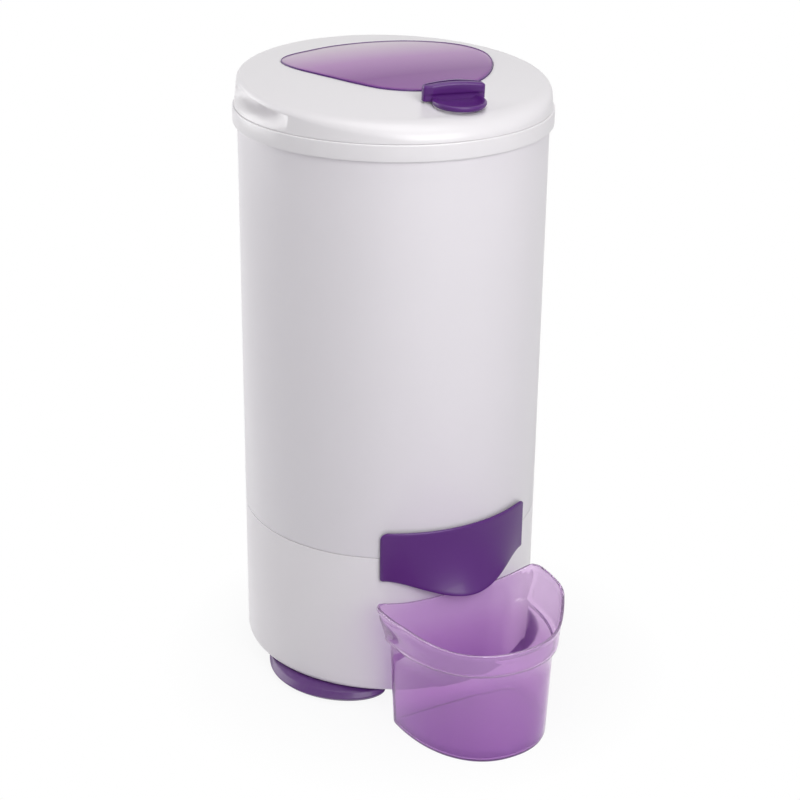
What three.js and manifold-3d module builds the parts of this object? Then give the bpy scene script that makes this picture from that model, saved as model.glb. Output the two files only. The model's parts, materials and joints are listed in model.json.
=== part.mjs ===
// A free-standing laundry spin dryer: a round casing with a motor-driven perforated drum,
// a hinged lid with a window and a turning lock, a drain spout at the front and a jug under it.
// Millimetres, +Z up, front towards -Y. Heights are counted from the base's bottom edge, radii
// from the drum's axis; the outermost group then sets the machine on its feet.

import * as THREE from 'three';
import { mergeVertices } from 'three/addons/utils/BufferGeometryUtils.js';
import Module from 'manifold-3d';

const wasm = await Module();
wasm.setup();

// ---------------------------------------------------------------- driving dimensions
const fit = 0.3;                 // gap between pieces that touch
const running = 0.4;             // radial gap round a piece that turns or slides

const casingRadius = 167;        // outside of the casing and the base
const casingHeight = 443.6;      // casing from the seam up to the collar
const casingWall = 1;

const baseHeight = 168;
const baseWall = 3.5;
const baseEdgeRound = 9;         // rounding of the base's bottom edge
const spigotHeight = 10;         // base lip that the casing drops over

const collarHeight = 19.4;
const collarProud = 5.5;         // how far the collar stands out of the casing
const collarRim = 4.3;           // thickness of the rim round the lid
const collarWall = 3;
const ledgeDrop = 11.5;          // lid seat below the top of the rim
const mouthRadius = 102;         // opening that the laundry goes through
const mouthSkirt = 18;           // skirt under the mouth

const lidGap = 1.7;              // between the lid and the collar's rim
const lidWall = 3;
const crownWall = 5.4;           // the crown is thicker, to carry the window
const lidDraft = 0.2;            // inward lean of the lid's side, mm per mm
const crownRise = 32;            // lid's centre above the rim's top
const crownTilt = 0.03;          // the crown falls towards the front
const crownSag = 3.5;            // extra fall at crownSpan from the centre
const crownSpan = 150;
const shoulder = { front: 27, side: 7, rear: 11 };   // reach of the lid's rounded edge

const grip = { halfAngle: 21, depth: 14, halfHeight: 8, below: 9.5, wall: 2.6 };

const glass = { x: 8, y: 23, turn: 40, radius: 115, nearRadius: 227.4, nearEdge: 61.4, tip: 8 };
const glassThickness = 2.6;
const glassLedge = 5;

const lever = { x: 6, y: -118, discRadius: 27, discHeight: 6, dish: 2.2, lift: 0.6, turn: 60 };
const blade = { left: -40, right: 27, front: 13, back: 26, height: 17 };
const spindleRadius = 5.6;
const tongue = { below: 4.044, thickness: 3.5, width: 12, hub: 10, bite: 2.9 };   // below: under the rim's top
const plunger = { radius: 2.5, inset: 14.5, stroke: 2.6, length: 26, spare: 1 };

const hinge = { out: 5.5, rise: 8, barrel: 6, pin: 2.5, leafHalf: 23.5, lug: 17 };

const tubRadius = 146;
const tubWall = 2.5;
const tubFloor = 198;            // gutter of the tub, above the base's bottom edge
const tubFloorRise = 8;          // floor rises towards the shaft
const tubFlange = 2.5;

const drumRadius = 132;
const drumWall = 1.2;
const drumBottom = 236;
const drumHeight = 344;
const drumMouth = 104;
const holes = { radius: 3.6, rows: 5, around: 10, sides: 6, margin: 35 };

const shaftRadius = 7;
const shaftBottom = 30;
const motorRadius = 60;
const motorBottom = 50;
const motorWall = 3;
const bearingRadius = 16;
const bearingHeight = 10;
const plateBottom = 136;
const plateThickness = 4;
const pillarRing = 118;          // radius at which pillars, buffers and feet stand
const pillarRadius = 11;
const bufferHeight = 24;
const bufferRadius = 14;
const brakeRadius = 42;
const brakeHeight = 20;
const fanRadius = 50;

const cover = { halfAngle: 31, top: 203, side: 141, lip: 126, proud: 3, belly: 25, wall: 2.6, corner: 9 };
const nozzle = { bore: 7, wall: 1.8 };

const footHeight = 13;
const padHeight = 3;
const foot = { halfAngle: 29, inner: 128, outer: 172, sole: 6 };
const footAngles = { left: -60, right: 60, rear: 180 };

const jug = {
  centre: -16.5, gap: 2.6, wall: 2.2, lift: 0.4,          // gap: from the casing to the jug's back
  bottomHalf: 80.5, bottomDepth: 127, stepHeight: 104, stepHalf: 83.5, stepDepth: 129.5,
  collarOut: 5.5, rimFront: 130, rimRear: 133, rimEar: 149, bead: 1.6,
  ear: 14, earFull: 34, earEnd: 92,      // reach of the ears; how far from the back they are full and end
  cornerRound: 14, fullness: 2.35,
};

const rounds = { casing: 36, inner: 24, motor: 16, small: 12 };  // facets round each class of turned piece
const quarterSteps = 2;          // facets in a quarter-turn fillet

// ---------------------------------------------------------------- heights that follow
const collarBottom = baseHeight + casingHeight;
const rimTop = collarBottom + collarHeight;
const ledge = rimTop - ledgeDrop;
const collarRadius = casingRadius + collarProud;
const rimInner = collarRadius - collarRim;
const lidRadius = rimInner - lidGap;
const lidFoot = ledge + 1;
const floorLevel = -(footHeight + padHeight);
const flangeTop = ledge - collarWall - fit;
const casingTop = flangeTop - tubFlange - fit;
const drumTop = drumBottom + drumHeight;
const jugRear = -(casingRadius + jug.gap);
const hingeBack = collarRadius + hinge.out;
const degrees = Math.PI / 180;

// ---------------------------------------------------------------- solids from geometry
function solidOf(geometry) {
  const bare = geometry.clone();
  bare.deleteAttribute('normal');
  bare.deleteAttribute('uv');
  const merged = mergeVertices(bare, 1e-4);
  const at = merged.attributes.position.array;
  const corners = merged.index.array;
  const triangles = [];
  let volume = 0;
  for (let i = 0; i < corners.length; i += 3) {
    const [a, b, c] = [corners[i], corners[i + 1], corners[i + 2]];
    if (a === b || b === c || c === a) continue;
    triangles.push(a, b, c);
    const [p, q, r] = [a, b, c].map((k) => new THREE.Vector3().fromArray(at, 3 * k));
    volume += p.dot(q.cross(r));
  }
  if (volume < 0) {
    for (let i = 0; i < triangles.length; i += 3) {
      [triangles[i], triangles[i + 1]] = [triangles[i + 1], triangles[i]];
    }
  }
  return new wasm.Manifold(new wasm.Mesh({
    numProp: 3,
    vertProperties: new Float32Array(at),
    triVerts: new Uint32Array(triangles),
  }));
}

function geometryOf(solid) {
  const mesh = solid.getMesh();
  const geometry = new THREE.BufferGeometry();
  geometry.setAttribute('position', new THREE.BufferAttribute(Float32Array.from(mesh.vertProperties), 3));
  geometry.setIndex(new THREE.BufferAttribute(Uint32Array.from(mesh.triVerts), 1));
  geometry.computeVertexNormals();
  return geometry;
}

const joined = (...solids) => solids.reduce((all, one) => all.add(one));
const without = (solid, ...cuts) => cuts.reduce((left, cut) => left.subtract(cut), solid);

// Corners are [x, y, fillet radius]; a fillet is limited by the shorter side beside it.
function filleted(corners, closed = true) {
  const points = [];
  corners.forEach(([x, y, radius = 0], i) => {
    const here = new THREE.Vector2(x, y);
    const atEnd = !closed && (i === 0 || i === corners.length - 1);
    if (!radius || atEnd) {
      points.push(here);
      return;
    }
    const before = corners[(i + corners.length - 1) % corners.length];
    const after = corners[(i + 1) % corners.length];
    const back = new THREE.Vector2(before[0] - x, before[1] - y);
    const on = new THREE.Vector2(after[0] - x, after[1] - y);
    const shortest = Math.min(back.length(), on.length());
    back.normalize();
    on.normalize();
    const half = Math.acos(THREE.MathUtils.clamp(back.dot(on), -1, 1)) / 2;
    const setback = Math.min(radius / Math.tan(half), 0.48 * shortest);
    const centre = back.clone().add(on).normalize().multiplyScalar(setback / Math.cos(half)).add(here);
    const start = here.clone().addScaledVector(back, setback).sub(centre);
    const sweep = (Math.PI - 2 * half) * Math.sign(back.cross(on)) * -1;
    const steps = Math.max(1, Math.round((Math.abs(sweep) / (Math.PI / 2)) * quarterSteps));
    for (let k = 0; k <= steps; k += 1) {
      points.push(start.clone().rotateAround(new THREE.Vector2(), (sweep * k) / steps).add(centre));
    }
  });
  return points;
}

// Corners along an arc, angles in radians.
function arc(x, y, radius, from, to, steps) {
  return Array.from({ length: steps + 1 }, (_, k) => {
    const turn = from + ((to - from) * k) / steps;
    return [x + radius * Math.cos(turn), y + radius * Math.sin(turn)];
  });
}

// A ring turned round Z from a closed outline of [radius, height, fillet] corners.
function turnedRing(corners, facets) {
  const outline = filleted(corners);
  outline.push(outline[0].clone());
  return solidOf(new THREE.LatheGeometry(outline, facets).rotateX(Math.PI / 2));
}

// A solid turned round Z from an outline that starts and ends on the axis.
function turned(corners, facets) {
  return solidOf(new THREE.LatheGeometry(filleted(corners, false), facets).rotateX(Math.PI / 2));
}

function tube(inner, outer, low, high, facets) {
  return turnedRing([[inner, low], [outer, low], [outer, high], [inner, high]], facets);
}

function rod(radius, low, high, facets = rounds.small) {
  return turned([[0, low], [radius, low], [radius, high], [0, high]], facets);
}

function slabGeometry(outline, low, high) {
  const shape = outline instanceof THREE.Shape ? outline : new THREE.Shape(filleted(outline));
  const options = { depth: high - low, bevelEnabled: false, curveSegments: 4 * quarterSteps };
  return new THREE.ExtrudeGeometry(shape, options).translate(0, 0, low);
}

const slab = (outline, low, high) => solidOf(slabGeometry(outline, low, high));

function block(x0, x1, y0, y1, z0, z1) {
  const box = new THREE.BoxGeometry(x1 - x0, y1 - y0, z1 - z0);
  return solidOf(box.translate((x0 + x1) / 2, (y0 + y1) / 2, (z0 + z1) / 2));
}

// Closed rings of points joined in order; wrapped joins the last to the first, else both ends close.
function lofted(rings, wrapped = false) {
  const count = rings[0].length;
  const at = rings.flat().flatMap((p) => [p.x, p.y, p.z]);
  const faces = [];
  const bands = wrapped ? rings.length : rings.length - 1;
  for (let i = 0; i < bands; i += 1) {
    for (let j = 0; j < count; j += 1) {
      const [a, b] = [i * count + j, i * count + ((j + 1) % count)];
      const [c, d] = [a, b].map((k) => (k + count) % (rings.length * count));
      faces.push(a, b, c, b, d, c);
    }
  }
  if (!wrapped) {
    [0, rings.length - 1].forEach((i) => {
      const middle = new THREE.Vector3();
      rings[i].forEach((p) => middle.addScaledVector(p, 1 / count));
      const hub = at.push(...middle.toArray()) / 3 - 1;
      for (let j = 0; j < count; j += 1) {
        const [a, b] = [i * count + j, i * count + ((j + 1) % count)];
        faces.push(...(i === 0 ? [b, a, hub] : [a, b, hub]));
      }
    });
  }
  const geometry = new THREE.BufferGeometry();
  geometry.setAttribute('position', new THREE.Float32BufferAttribute(at, 3));
  geometry.setIndex(faces);
  return solidOf(geometry);
}

// A point at an angle from the front (degrees, towards +X), a radius and a height.
function polar(angle, radius, height) {
  return new THREE.Vector3(radius * Math.sin(angle * degrees), -radius * Math.cos(angle * degrees), height);
}

// A turned piece stood at a place off the axis.
function standing(corners, place, facets = rounds.small) {
  const geometry = new THREE.LatheGeometry(filleted(corners, false), facets).rotateX(Math.PI / 2);
  return solidOf(geometry.translate(place.x, place.y, 0));
}

function standingRod(radius, low, high, place, facets = rounds.small) {
  return standing([[0, low], [radius, low], [radius, high], [0, high]], place, facets);
}

// ---------------------------------------------------------------- base and casing
const nozzleSteps = 6;
const nozzleSides = 8;
const nozzlePath = new THREE.CatmullRomCurve3([
  polar(0, tubRadius - 15, tubFloor + 1),
  polar(0, tubRadius - 15, tubFloor - 14),
  polar(0, tubRadius - 4, tubFloor - 33),
  polar(0, casingRadius - 6, tubFloor - 47),
  polar(0, casingRadius + 1, tubFloor - 52),
]);

function pipe(curve, bore, outer, steps, sides) {
  const ring = new THREE.Shape();
  ring.absarc(0, 0, outer, 0, 2 * Math.PI);
  if (bore > 0) ring.holes.push(new THREE.Path().absarc(0, 0, bore, 0, 2 * Math.PI, true));
  const options = { steps, extrudePath: curve, curveSegments: sides / 2, bevelEnabled: false };
  return solidOf(new THREE.ExtrudeGeometry(ring, options));
}

const nozzleHole = pipe(nozzlePath, 0, nozzle.bore + nozzle.wall + fit, nozzleSteps, nozzleSides);

function drainNozzle() {
  return pipe(nozzlePath, nozzle.bore, nozzle.bore + nozzle.wall, nozzleSteps, nozzleSides);
}

const glandHeight = 40;
const gland = { neck: 6.5, flange: 11, bore: 3.6 };

function baseHousing() {
  const inner = casingRadius - baseWall;
  const lip = casingRadius - casingWall - fit;
  const shell = turnedRing([
    [34, 0], [casingRadius, 0, baseEdgeRound], [casingRadius, baseHeight - fit], [lip, baseHeight - fit],
    [lip, baseHeight + spigotHeight], [lip - baseWall, baseHeight + spigotHeight],
    [inner, baseHeight - 2 * spigotHeight], [inner, baseWall], [34, baseWall],
  ], rounds.casing);
  const pillars = Object.values(footAngles).map((angle) => {
    const top = plateBottom - bufferHeight - 2 * fit;
    const corners = [[0, baseWall / 2], [pillarRadius + 2, baseWall / 2], [pillarRadius, top], [0, top]];
    return standing(corners, polar(angle, pillarRing, 0));
  });
  const vents = Array.from({ length: 8 }, (_, i) => {
    const slot = slabGeometry([[46, -3], [78, -3], [78, 3], [46, 3]], -1, baseWall + 1);
    return solidOf(slot.rotateZ((i * Math.PI) / 4));
  });
  const neckHole = new THREE.CylinderGeometry(gland.neck + fit, gland.neck + fit, 8 * baseWall, rounds.small);
  const glandHole = solidOf(neckHole.translate(0, casingRadius, glandHeight));
  return without(joined(shell, ...pillars), ...vents, nozzleHole, glandHole);
}

function outerCasing() {
  return tube(casingRadius - casingWall, casingRadius, baseHeight, casingTop, rounds.casing);
}

function cordGland() {
  return turnedRing([
    [gland.bore, -baseWall - 5], [gland.neck, -baseWall - 5], [gland.neck, 0.6], [gland.flange, 0.6],
    [gland.flange, 4, 1.2], [gland.neck + 1, 4.4], [gland.neck - 0.6, 9], [gland.bore, 9],
  ], rounds.small);
}

// ---------------------------------------------------------------- lid form
function edgeReach(angle) {
  const [front, side] = [Math.cos(angle * degrees), Math.sin(angle * degrees)];
  return shoulder.side * side ** 2 + (front > 0 ? shoulder.front : shoulder.rear) * front ** 2;
}

function crownHeight(x, y) {
  return rimTop + crownRise + crownTilt * y - crownSag * (x * x + y * y) / crownSpan ** 2;
}

// The lid's outer form, taken in by inset; every wall and pocket of the lid follows it.
function lidForm(inset, low, crownInset = inset) {
  const around = Array.from({ length: rounds.casing }, (_, j) => (360 * j) / rounds.casing);
  const sideRadius = (z) => lidRadius - inset - lidDraft * Math.max(0, z - rimTop);
  const shoulderAt = (angle) => {
    const reach = edgeReach(angle);
    const crown = polar(angle, lidRadius - reach, 0);
    return { reach, drop: 0.72 * reach, top: crownHeight(crown.x, crown.y) - crownInset };
  };
  const rings = [around.map((angle) => polar(angle, lidRadius - inset, low))];
  rings.push(around.map((angle) => {
    const { drop, top } = shoulderAt(angle);
    return polar(angle, lidRadius - inset, Math.min(rimTop, top - drop - 1));
  }));
  const arcSteps = quarterSteps + 1;
  for (let k = 0; k <= arcSteps; k += 1) {
    const bend = (k / arcSteps) * (Math.PI / 2);
    rings.push(around.map((angle) => {
      const { reach, drop, top } = shoulderAt(angle);
      const radius = sideRadius(top - drop) - reach * (1 - Math.cos(bend));
      return polar(angle, radius, top - drop * (1 - Math.sin(bend)));
    }));
  }
  rings.push(around.map((angle) => {
    const flat = polar(angle, (lidRadius - edgeReach(angle)) / 2, 0);
    return flat.setZ(crownHeight(flat.x, flat.y) - crownInset);
  }));
  return lofted(rings);
}

// The finger pocket of one side, grown by margin.
function gripScoop(side, margin) {
  const steps = 6;
  const sections = Array.from({ length: steps + 1 }, (_, i) => {
    const share = (2 * i) / steps - 1;
    const swell = Math.sqrt(Math.max(0.04, 1 - share * share));
    const growth = 1 + margin / (grip.depth * 2);
    const angle = side * 90 + share * grip.halfAngle * growth;
    const middle = rimTop + crownRise - crownSag - 8 - grip.below;
    return Array.from({ length: 8 }, (__, j) => {
      const bend = ((j + 0.5) / 8) * 2 * Math.PI;
      const radius = lidRadius + 1 + (grip.depth * swell + margin) * Math.cos(bend);
      return polar(angle, radius, middle + (grip.halfHeight * swell ** 0.5 + margin) * Math.sin(bend));
    });
  });
  return lofted(sections);
}

// ---------------------------------------------------------------- window outline
// A leaf between two arcs with rounded tips; all four arcs move out together by offset.
function leaf(offset) {
  const far = glass.radius - glass.tip;
  const near = glass.nearRadius - glass.tip;
  const apart = glass.nearRadius - glass.nearEdge;
  const tipX = (far ** 2 - near ** 2 + apart ** 2) / (2 * apart);
  const tipY = Math.sqrt(far ** 2 - tipX ** 2);
  const farTurn = Math.atan2(tipY, tipX);
  const nearTurn = Math.atan2(tipY, tipX - apart);
  const whole = 2 * Math.PI;
  return [
    ...arc(0, 0, glass.radius + offset, -farTurn, farTurn, 16),
    ...arc(tipX, tipY, glass.tip + offset, farTurn, nearTurn, 2).slice(1, -1),
    ...arc(apart, 0, glass.nearRadius + offset, nearTurn, whole - nearTurn, 5),
    ...arc(tipX, -tipY, glass.tip + offset, whole - nearTurn, whole - farTurn, 2).slice(1, -1),
  ];
}

function leafPrism(offset) {
  const prism = slabGeometry(leaf(offset), lidFoot - 5, rimTop + crownRise + 20);
  return solidOf(prism.rotateZ(glass.turn * degrees).translate(glass.x, glass.y, 0));
}

// ---------------------------------------------------------------- lock lever frame
const leverTilt = Math.atan(crownTilt + (2 * crownSag * -lever.y) / crownSpan ** 2);
const leverFrame = new THREE.Matrix4().compose(
  new THREE.Vector3(lever.x, lever.y, crownHeight(lever.x, lever.y)),
  new THREE.Quaternion().setFromAxisAngle(new THREE.Vector3(1, 0, 0), leverTilt),
  new THREE.Vector3(1, 1, 1),
);
const inLeverFrame = (geometry) => solidOf(geometry.applyMatrix4(leverFrame));
const tongueDepth = (crownHeight(lever.x, lever.y) - rimTop + tongue.below) / Math.cos(leverTilt);
const spindleFoot = new THREE.Vector3(0, 0, -tongueDepth).applyMatrix4(leverFrame);
const tongueReach = rimInner + tongue.bite + spindleFoot.y;

// A hole for the spindle through whatever lies between the tongue and the lever.
function spindleBore(radius) {
  const length = 3 * tongueDepth;
  return inLeverFrame(new THREE.CylinderGeometry(radius, radius, length, rounds.motor).rotateX(Math.PI / 2));
}

// The space that the tongue sweeps as the lever turns, with clearance all round.
function tongueSweep() {
  const clear = 1;
  const spread = Math.asin(tongue.width / 2 / tongueReach) + 3 * degrees;
  const front = -Math.PI / 2;
  const [from, to] = [front - lever.turn * degrees - spread, front + spread];
  const sector = [[0, 0], ...arc(0, 0, tongueReach + clear, from, to, 6)];
  const low = -tongueDepth - tongue.thickness / 2 - clear;
  return inLeverFrame(slabGeometry(sector, low, low + tongue.thickness + 2 * clear));
}

const plungerPlace = polar(0, lidRadius + fit - plunger.inset + lidWall, 0).setX(lever.x);
const tongueUnderside = spindleFoot.z - tongue.thickness / 2
  + (spindleFoot.y - plungerPlace.y) * -Math.sin(leverTilt);
const plungerTop = tongueUnderside - plunger.spare + plunger.stroke;

// The plunger's guide hole runs through the collar and the tub's flange.
function plungerBore() {
  const [low, high] = [flangeTop - 2 * collarHeight, rimTop + collarHeight];
  return standingRod(plunger.radius + running, low, high, plungerPlace);
}

// ---------------------------------------------------------------- collar
function topCollar() {
  const groove = casingRadius + fit;
  const ring = turnedRing([
    [groove, collarBottom], [collarRadius, collarBottom], [collarRadius, rimTop, 3.6],
    [rimInner, rimTop], [rimInner, ledge], [mouthRadius, ledge, 5],
    [mouthRadius, ledge - mouthSkirt], [mouthRadius + collarWall, ledge - mouthSkirt],
    [mouthRadius + collarWall, ledge - collarWall], [groove, ledge - collarWall],
  ], rounds.casing);
  return without(ring, tongueSweep(), plungerBore());
}

// ---------------------------------------------------------------- lid pieces
function lidShell() {
  const pockets = [-1, 1].map((side) => gripScoop(side, grip.wall));
  const hollow = without(lidForm(lidWall, lidFoot - 5, crownWall), ...pockets);
  const seat = without(leafPrism(0), lidForm(glassThickness + fit, lidFoot - 5));
  const scoops = [-1, 1].map((side) => gripScoop(side, 0));
  const windowCuts = [seat, leafPrism(-glassLedge)];
  const lockCuts = [spindleBore(spindleRadius + running), tongueSweep()];
  return without(lidForm(0, lidFoot), hollow, ...windowCuts, ...scoops, ...lockCuts);
}

function lidWindow() {
  return without(lidForm(0.2, lidFoot).intersect(leafPrism(-fit)), lidForm(glassThickness, lidFoot - 5));
}

const linerTop = rimTop + 6;
const sealInner = mouthRadius - 3;

function lidLiner() {
  const edge = lidRadius - lidWall - lidDraft * (linerTop - rimTop) - 5 * fit;
  const plate = turnedRing([
    [sealInner, linerTop], [sealInner, ledge + 6], [sealInner + lidWall, ledge + 6],
    [sealInner + lidWall, linerTop - 2.5, 2], [edge, linerTop - 2.5], [edge, linerTop],
  ], rounds.inner);
  const pockets = [-1, 1].map((side) => gripScoop(side, grip.wall + fit));
  const underShell = lidForm(lidWall, ledge, crownWall);
  return without(plate.intersect(underShell), ...pockets, spindleBore(spindleRadius + 2));
}

function lidSeal() {
  return turnedRing([
    [sealInner - 1, ledge + 6 - fit], [sealInner - 1, ledge + fit + 1.5], [sealInner + 1, ledge + fit],
    [sealInner + 7, ledge + fit], [sealInner + 7, ledge + 2.4], [sealInner + 4, ledge + 6 - fit],
  ], rounds.inner);
}

// ---------------------------------------------------------------- lid hinge
const hingeHeight = rimTop + hinge.rise;

// Outline points for alongX are [y, z].
function alongX(outline, x0, x1) {
  const geometry = slabGeometry(outline, x0, x1);
  return solidOf(geometry.rotateY(Math.PI / 2).rotateX(Math.PI / 2));
}

// A round bar along X on the hinge's axis.
function onHingeAxis(radius, x0, x1) {
  return alongX(new THREE.Shape().absarc(hingeBack, hingeHeight, radius, 0, 2 * Math.PI), x0, x1);
}

const knuckleNear = hinge.leafHalf + fit;
const knuckleFar = knuckleNear + hinge.lug;
const pinBore = (gap) => onHingeAxis(hinge.pin + gap, -knuckleFar - 1, knuckleFar + 1);

function hingeBracket() {
  const [low, top] = [collarBottom + 2, rimTop + 1];
  const plate = block(-knuckleFar, knuckleFar, casingRadius - 8, hingeBack + 2, low, top);
  const lugs = [-1, 1].map((side) => {
    const [x0, x1] = [side * knuckleNear, side * knuckleFar].sort((a, b) => a - b);
    const web = block(x0, x1, hingeBack - 4, hingeBack + hinge.barrel - 1, low, hingeHeight);
    return joined(onHingeAxis(hinge.barrel, x0, x1), web);
  });
  const seat = rod(collarRadius + fit, low - 1, rimTop + 2 * collarHeight, rounds.casing);
  return without(joined(plate, ...lugs), seat, pinBore(fit));
}

function hingePin() {
  return onHingeAxis(hinge.pin, -knuckleFar - 1, knuckleFar + 1);
}

function lidHingeLeaf() {
  const half = hinge.leafHalf;
  const top = hingeHeight + hinge.barrel - 0.5;
  const arm = block(-half, half, lidRadius - 12, hingeBack, hingeHeight - 4, top);
  const leafAndBarrel = joined(arm, onHingeAxis(hinge.barrel, -half, half));
  return without(leafAndBarrel, lidForm(-fit, lidFoot - 5), pinBore(running));
}

// ---------------------------------------------------------------- lock pieces, in the lever's frame
function lockLever() {
  const { discRadius, discHeight, dish, lift } = lever;
  const [rim, floor] = [lift + discHeight, lift + discHeight - dish];
  const disc = turned([
    [0, lift], [discRadius - 1.5, lift], [discRadius, lift + 2], [discRadius, rim, 1.5],
    [discRadius - 4, rim], [discRadius - 8, floor], [0, floor],
  ], rounds.inner);
  const bar = [
    [blade.left, blade.front + 2, 5], [blade.left + 12, blade.front, 4], [blade.right, blade.front, 3],
    [blade.right, blade.back - 4, 4], [0, blade.back - 1, 20], [blade.left, blade.back - 2, 6],
  ];
  return joined(disc, slab(bar, lift, lift + blade.height));
}

function latchSpindle() {
  const bottom = -tongueDepth - tongue.thickness / 2 - 4.4;
  return rod(spindleRadius, bottom, lever.lift - fit);
}

function latchTongue() {
  const { thickness, width, hub } = tongue;
  const half = width / 2;
  const arm = [[-half, 0], [half, 0], [half, -tongueReach, 3], [-half, -tongueReach, 3]];
  const low = -tongueDepth - thickness / 2;
  const solid = joined(slab(arm, low, low + thickness), rod(hub, low, low + thickness, rounds.small));
  return without(solid, rod(spindleRadius + fit, low - 1, low + thickness + 1, rounds.small));
}

function spindleClip() {
  const top = -tongueDepth - tongue.thickness / 2 - fit;
  return tube(spindleRadius + fit, spindleRadius + 3.5, top - 1.5, top, rounds.small);
}

// ---------------------------------------------------------------- interlock
function interlockPlunger() {
  const low = plungerTop - plunger.length;
  const { radius } = plunger;
  return standing([[0, low], [radius, low], [radius, plungerTop, 1], [0, plungerTop]], plungerPlace);
}

function interlockSwitch() {
  const top = plungerTop - plunger.length - plunger.stroke - fit;
  const [x, y] = [plungerPlace.x, plungerPlace.y];
  return block(x - 13, x + 13, y - 4.5, y + 5.5, top - 16, top);
}

// ---------------------------------------------------------------- tub and drum
const neckInner = 22;

function waterTub() {
  const [inner, outer] = [tubRadius - tubWall, tubRadius];
  const gutter = outer - 30;
  const under = tubFloor - tubWall;
  const neckBase = tubFloor + tubFloorRise;
  const neckTop = neckBase + 20;
  const lip = casingRadius - casingWall / 2;
  const shell = turnedRing([
    [neckInner, neckBase - tubWall], [gutter, under], [outer, under, 14], [outer, flangeTop - tubFlange],
    [lip, flangeTop - tubFlange], [lip, flangeTop], [inner, flangeTop], [inner, tubFloor, 12],
    [gutter, tubFloor], [neckInner + tubWall, neckBase], [neckInner + tubWall, neckTop], [neckInner, neckTop],
  ], rounds.inner);
  return without(shell, nozzleHole, plungerBore());
}

function shaftSeal() {
  const low = tubFloor + tubFloorRise + 4;
  return turnedRing([
    [shaftRadius + running, low], [neckInner - fit, low], [neckInner - fit, low + 12], [18, low + 12],
    [16, low + 5], [11, low + 5], [10, low + 12], [shaftRadius + running, low + 12],
  ], rounds.small);
}

function drumShell() {
  const inside = drumRadius - drumWall;
  const [bottomRing, topRing] = [drumRadius - 18, drumMouth + 8];
  const wall = turnedRing([
    [topRing, drumTop - drumWall], [inside, drumTop - drumWall], [inside, drumBottom + drumWall],
    [bottomRing, drumBottom + drumWall], [bottomRing, drumBottom], [drumRadius, drumBottom],
    [drumRadius, drumTop], [topRing, drumTop],
  ], 3 * holes.around);
  const pitch = (drumHeight - 2 * holes.margin) / (holes.rows - 1);
  const cuts = [];
  for (let row = 0; row < holes.rows; row += 1) {
    for (let k = 0; k < holes.around; k += 1) {
      const bore = new THREE.CylinderGeometry(holes.radius, holes.radius, 10 * drumWall, holes.sides);
      const turn = ((k + (row % 2) / 2 + 0.25) / holes.around) * 2 * Math.PI;
      const height = drumBottom + holes.margin + row * pitch;
      cuts.push(solidOf(bore.translate(0, drumRadius, 0).rotateZ(turn).translate(0, 0, height)));
    }
  }
  return without(wall, ...cuts);
}

function drumBase() {
  const rest = drumBottom + drumWall + fit;
  return turnedRing([
    [shaftRadius + fit, rest + 14], [shaftRadius + fit, rest + 17], [34, rest + 17], [62, rest + 5],
    [drumRadius - 9, rest + 2.2], [drumRadius - 9, rest], [62, rest + 2.5], [34, rest + 14],
  ], rounds.inner);
}

function drumHub() {
  const top = drumBottom + drumWall + 14;
  return turnedRing([
    [shaftRadius + fit, drumBottom - 6], [17, drumBottom - 6], [17, top - 6], [30, top - 4], [30, top],
    [shaftRadius + fit, top],
  ], rounds.small);
}

function drumRimRing() {
  const top = drumTop + fit;
  return turnedRing([
    [drumMouth, top - 8], [drumMouth + 6, top - 8], [drumMouth + 6, top], [drumRadius - 6, top],
    [drumRadius - 3, top + 2], [drumRadius - 10, top + 8], [drumMouth + 8, top + 10], [drumMouth, top + 4],
  ], rounds.inner);
}

const nutBottom = drumBottom + drumWall + 17 + 2 * fit;
const shaftTop = nutBottom + 16;

function hubNut() {
  const hexagon = arc(0, 0, 15, 0, 2 * Math.PI, 6).slice(1);
  const top = nutBottom + 12;
  return without(slab(hexagon, nutBottom, top), rod(shaftRadius + fit, nutBottom - 1, top + 1));
}

// ---------------------------------------------------------------- motor, brake and mounts
const motorTop = plateBottom - fit;
const bearingSeat = bearingRadius + fit;
const seatWall = 4;

function motorHousing() {
  return turnedRing([
    [bearingSeat, motorTop - bearingHeight - 3], [bearingSeat + seatWall, motorTop - bearingHeight - 3],
    [bearingSeat + seatWall, motorTop - motorWall], [motorRadius - motorWall, motorTop - motorWall],
    [motorRadius - motorWall, motorBottom + 6], [motorRadius, motorBottom + 6], [motorRadius, motorTop, 8],
    [bearingSeat, motorTop],
  ], rounds.motor);
}

function motorEndCap() {
  const top = motorBottom + 6 - fit;
  const floor = top - 3;
  const [rim, seat] = [motorRadius - motorWall - 3, bearingSeat + seatWall];
  return turnedRing([
    [shaftRadius + 2, motorBottom], [motorRadius - 4, motorBottom], [motorRadius, floor], [motorRadius, top],
    [rim, top], [rim, floor], [seat, floor], [seat, top + bearingHeight],
    [bearingSeat, top + bearingHeight], [bearingSeat, floor], [shaftRadius + 2, floor],
  ], rounds.motor);
}

const lowerBearingBottom = motorBottom + 6 - 3;
const upperBearingTop = motorTop - 3;

function bearing(low) {
  const [inner, outer] = [shaftRadius + running, bearingRadius];
  return turnedRing([
    [inner, low], [inner + 3, low], [(inner + outer) / 2, low + 1.5], [outer - 3, low], [outer, low],
    [outer, low + bearingHeight], [inner, low + bearingHeight],
  ], rounds.small);
}

const rotorRadius = 34;
const airGap = 1.2;
const stackLow = motorBottom + 22;
const stackHigh = motorTop - 20;

function motorStator() {
  const [bore, outer, coil] = [rotorRadius + airGap, motorRadius - motorWall - fit, motorRadius - 12];
  return turnedRing([
    [bore, stackLow + 6], [bore + 4, stackLow], [coil, stackLow], [outer, stackLow + 8],
    [outer, stackHigh - 8], [coil, stackHigh], [bore + 4, stackHigh], [bore, stackHigh - 6],
  ], rounds.motor);
}

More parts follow.
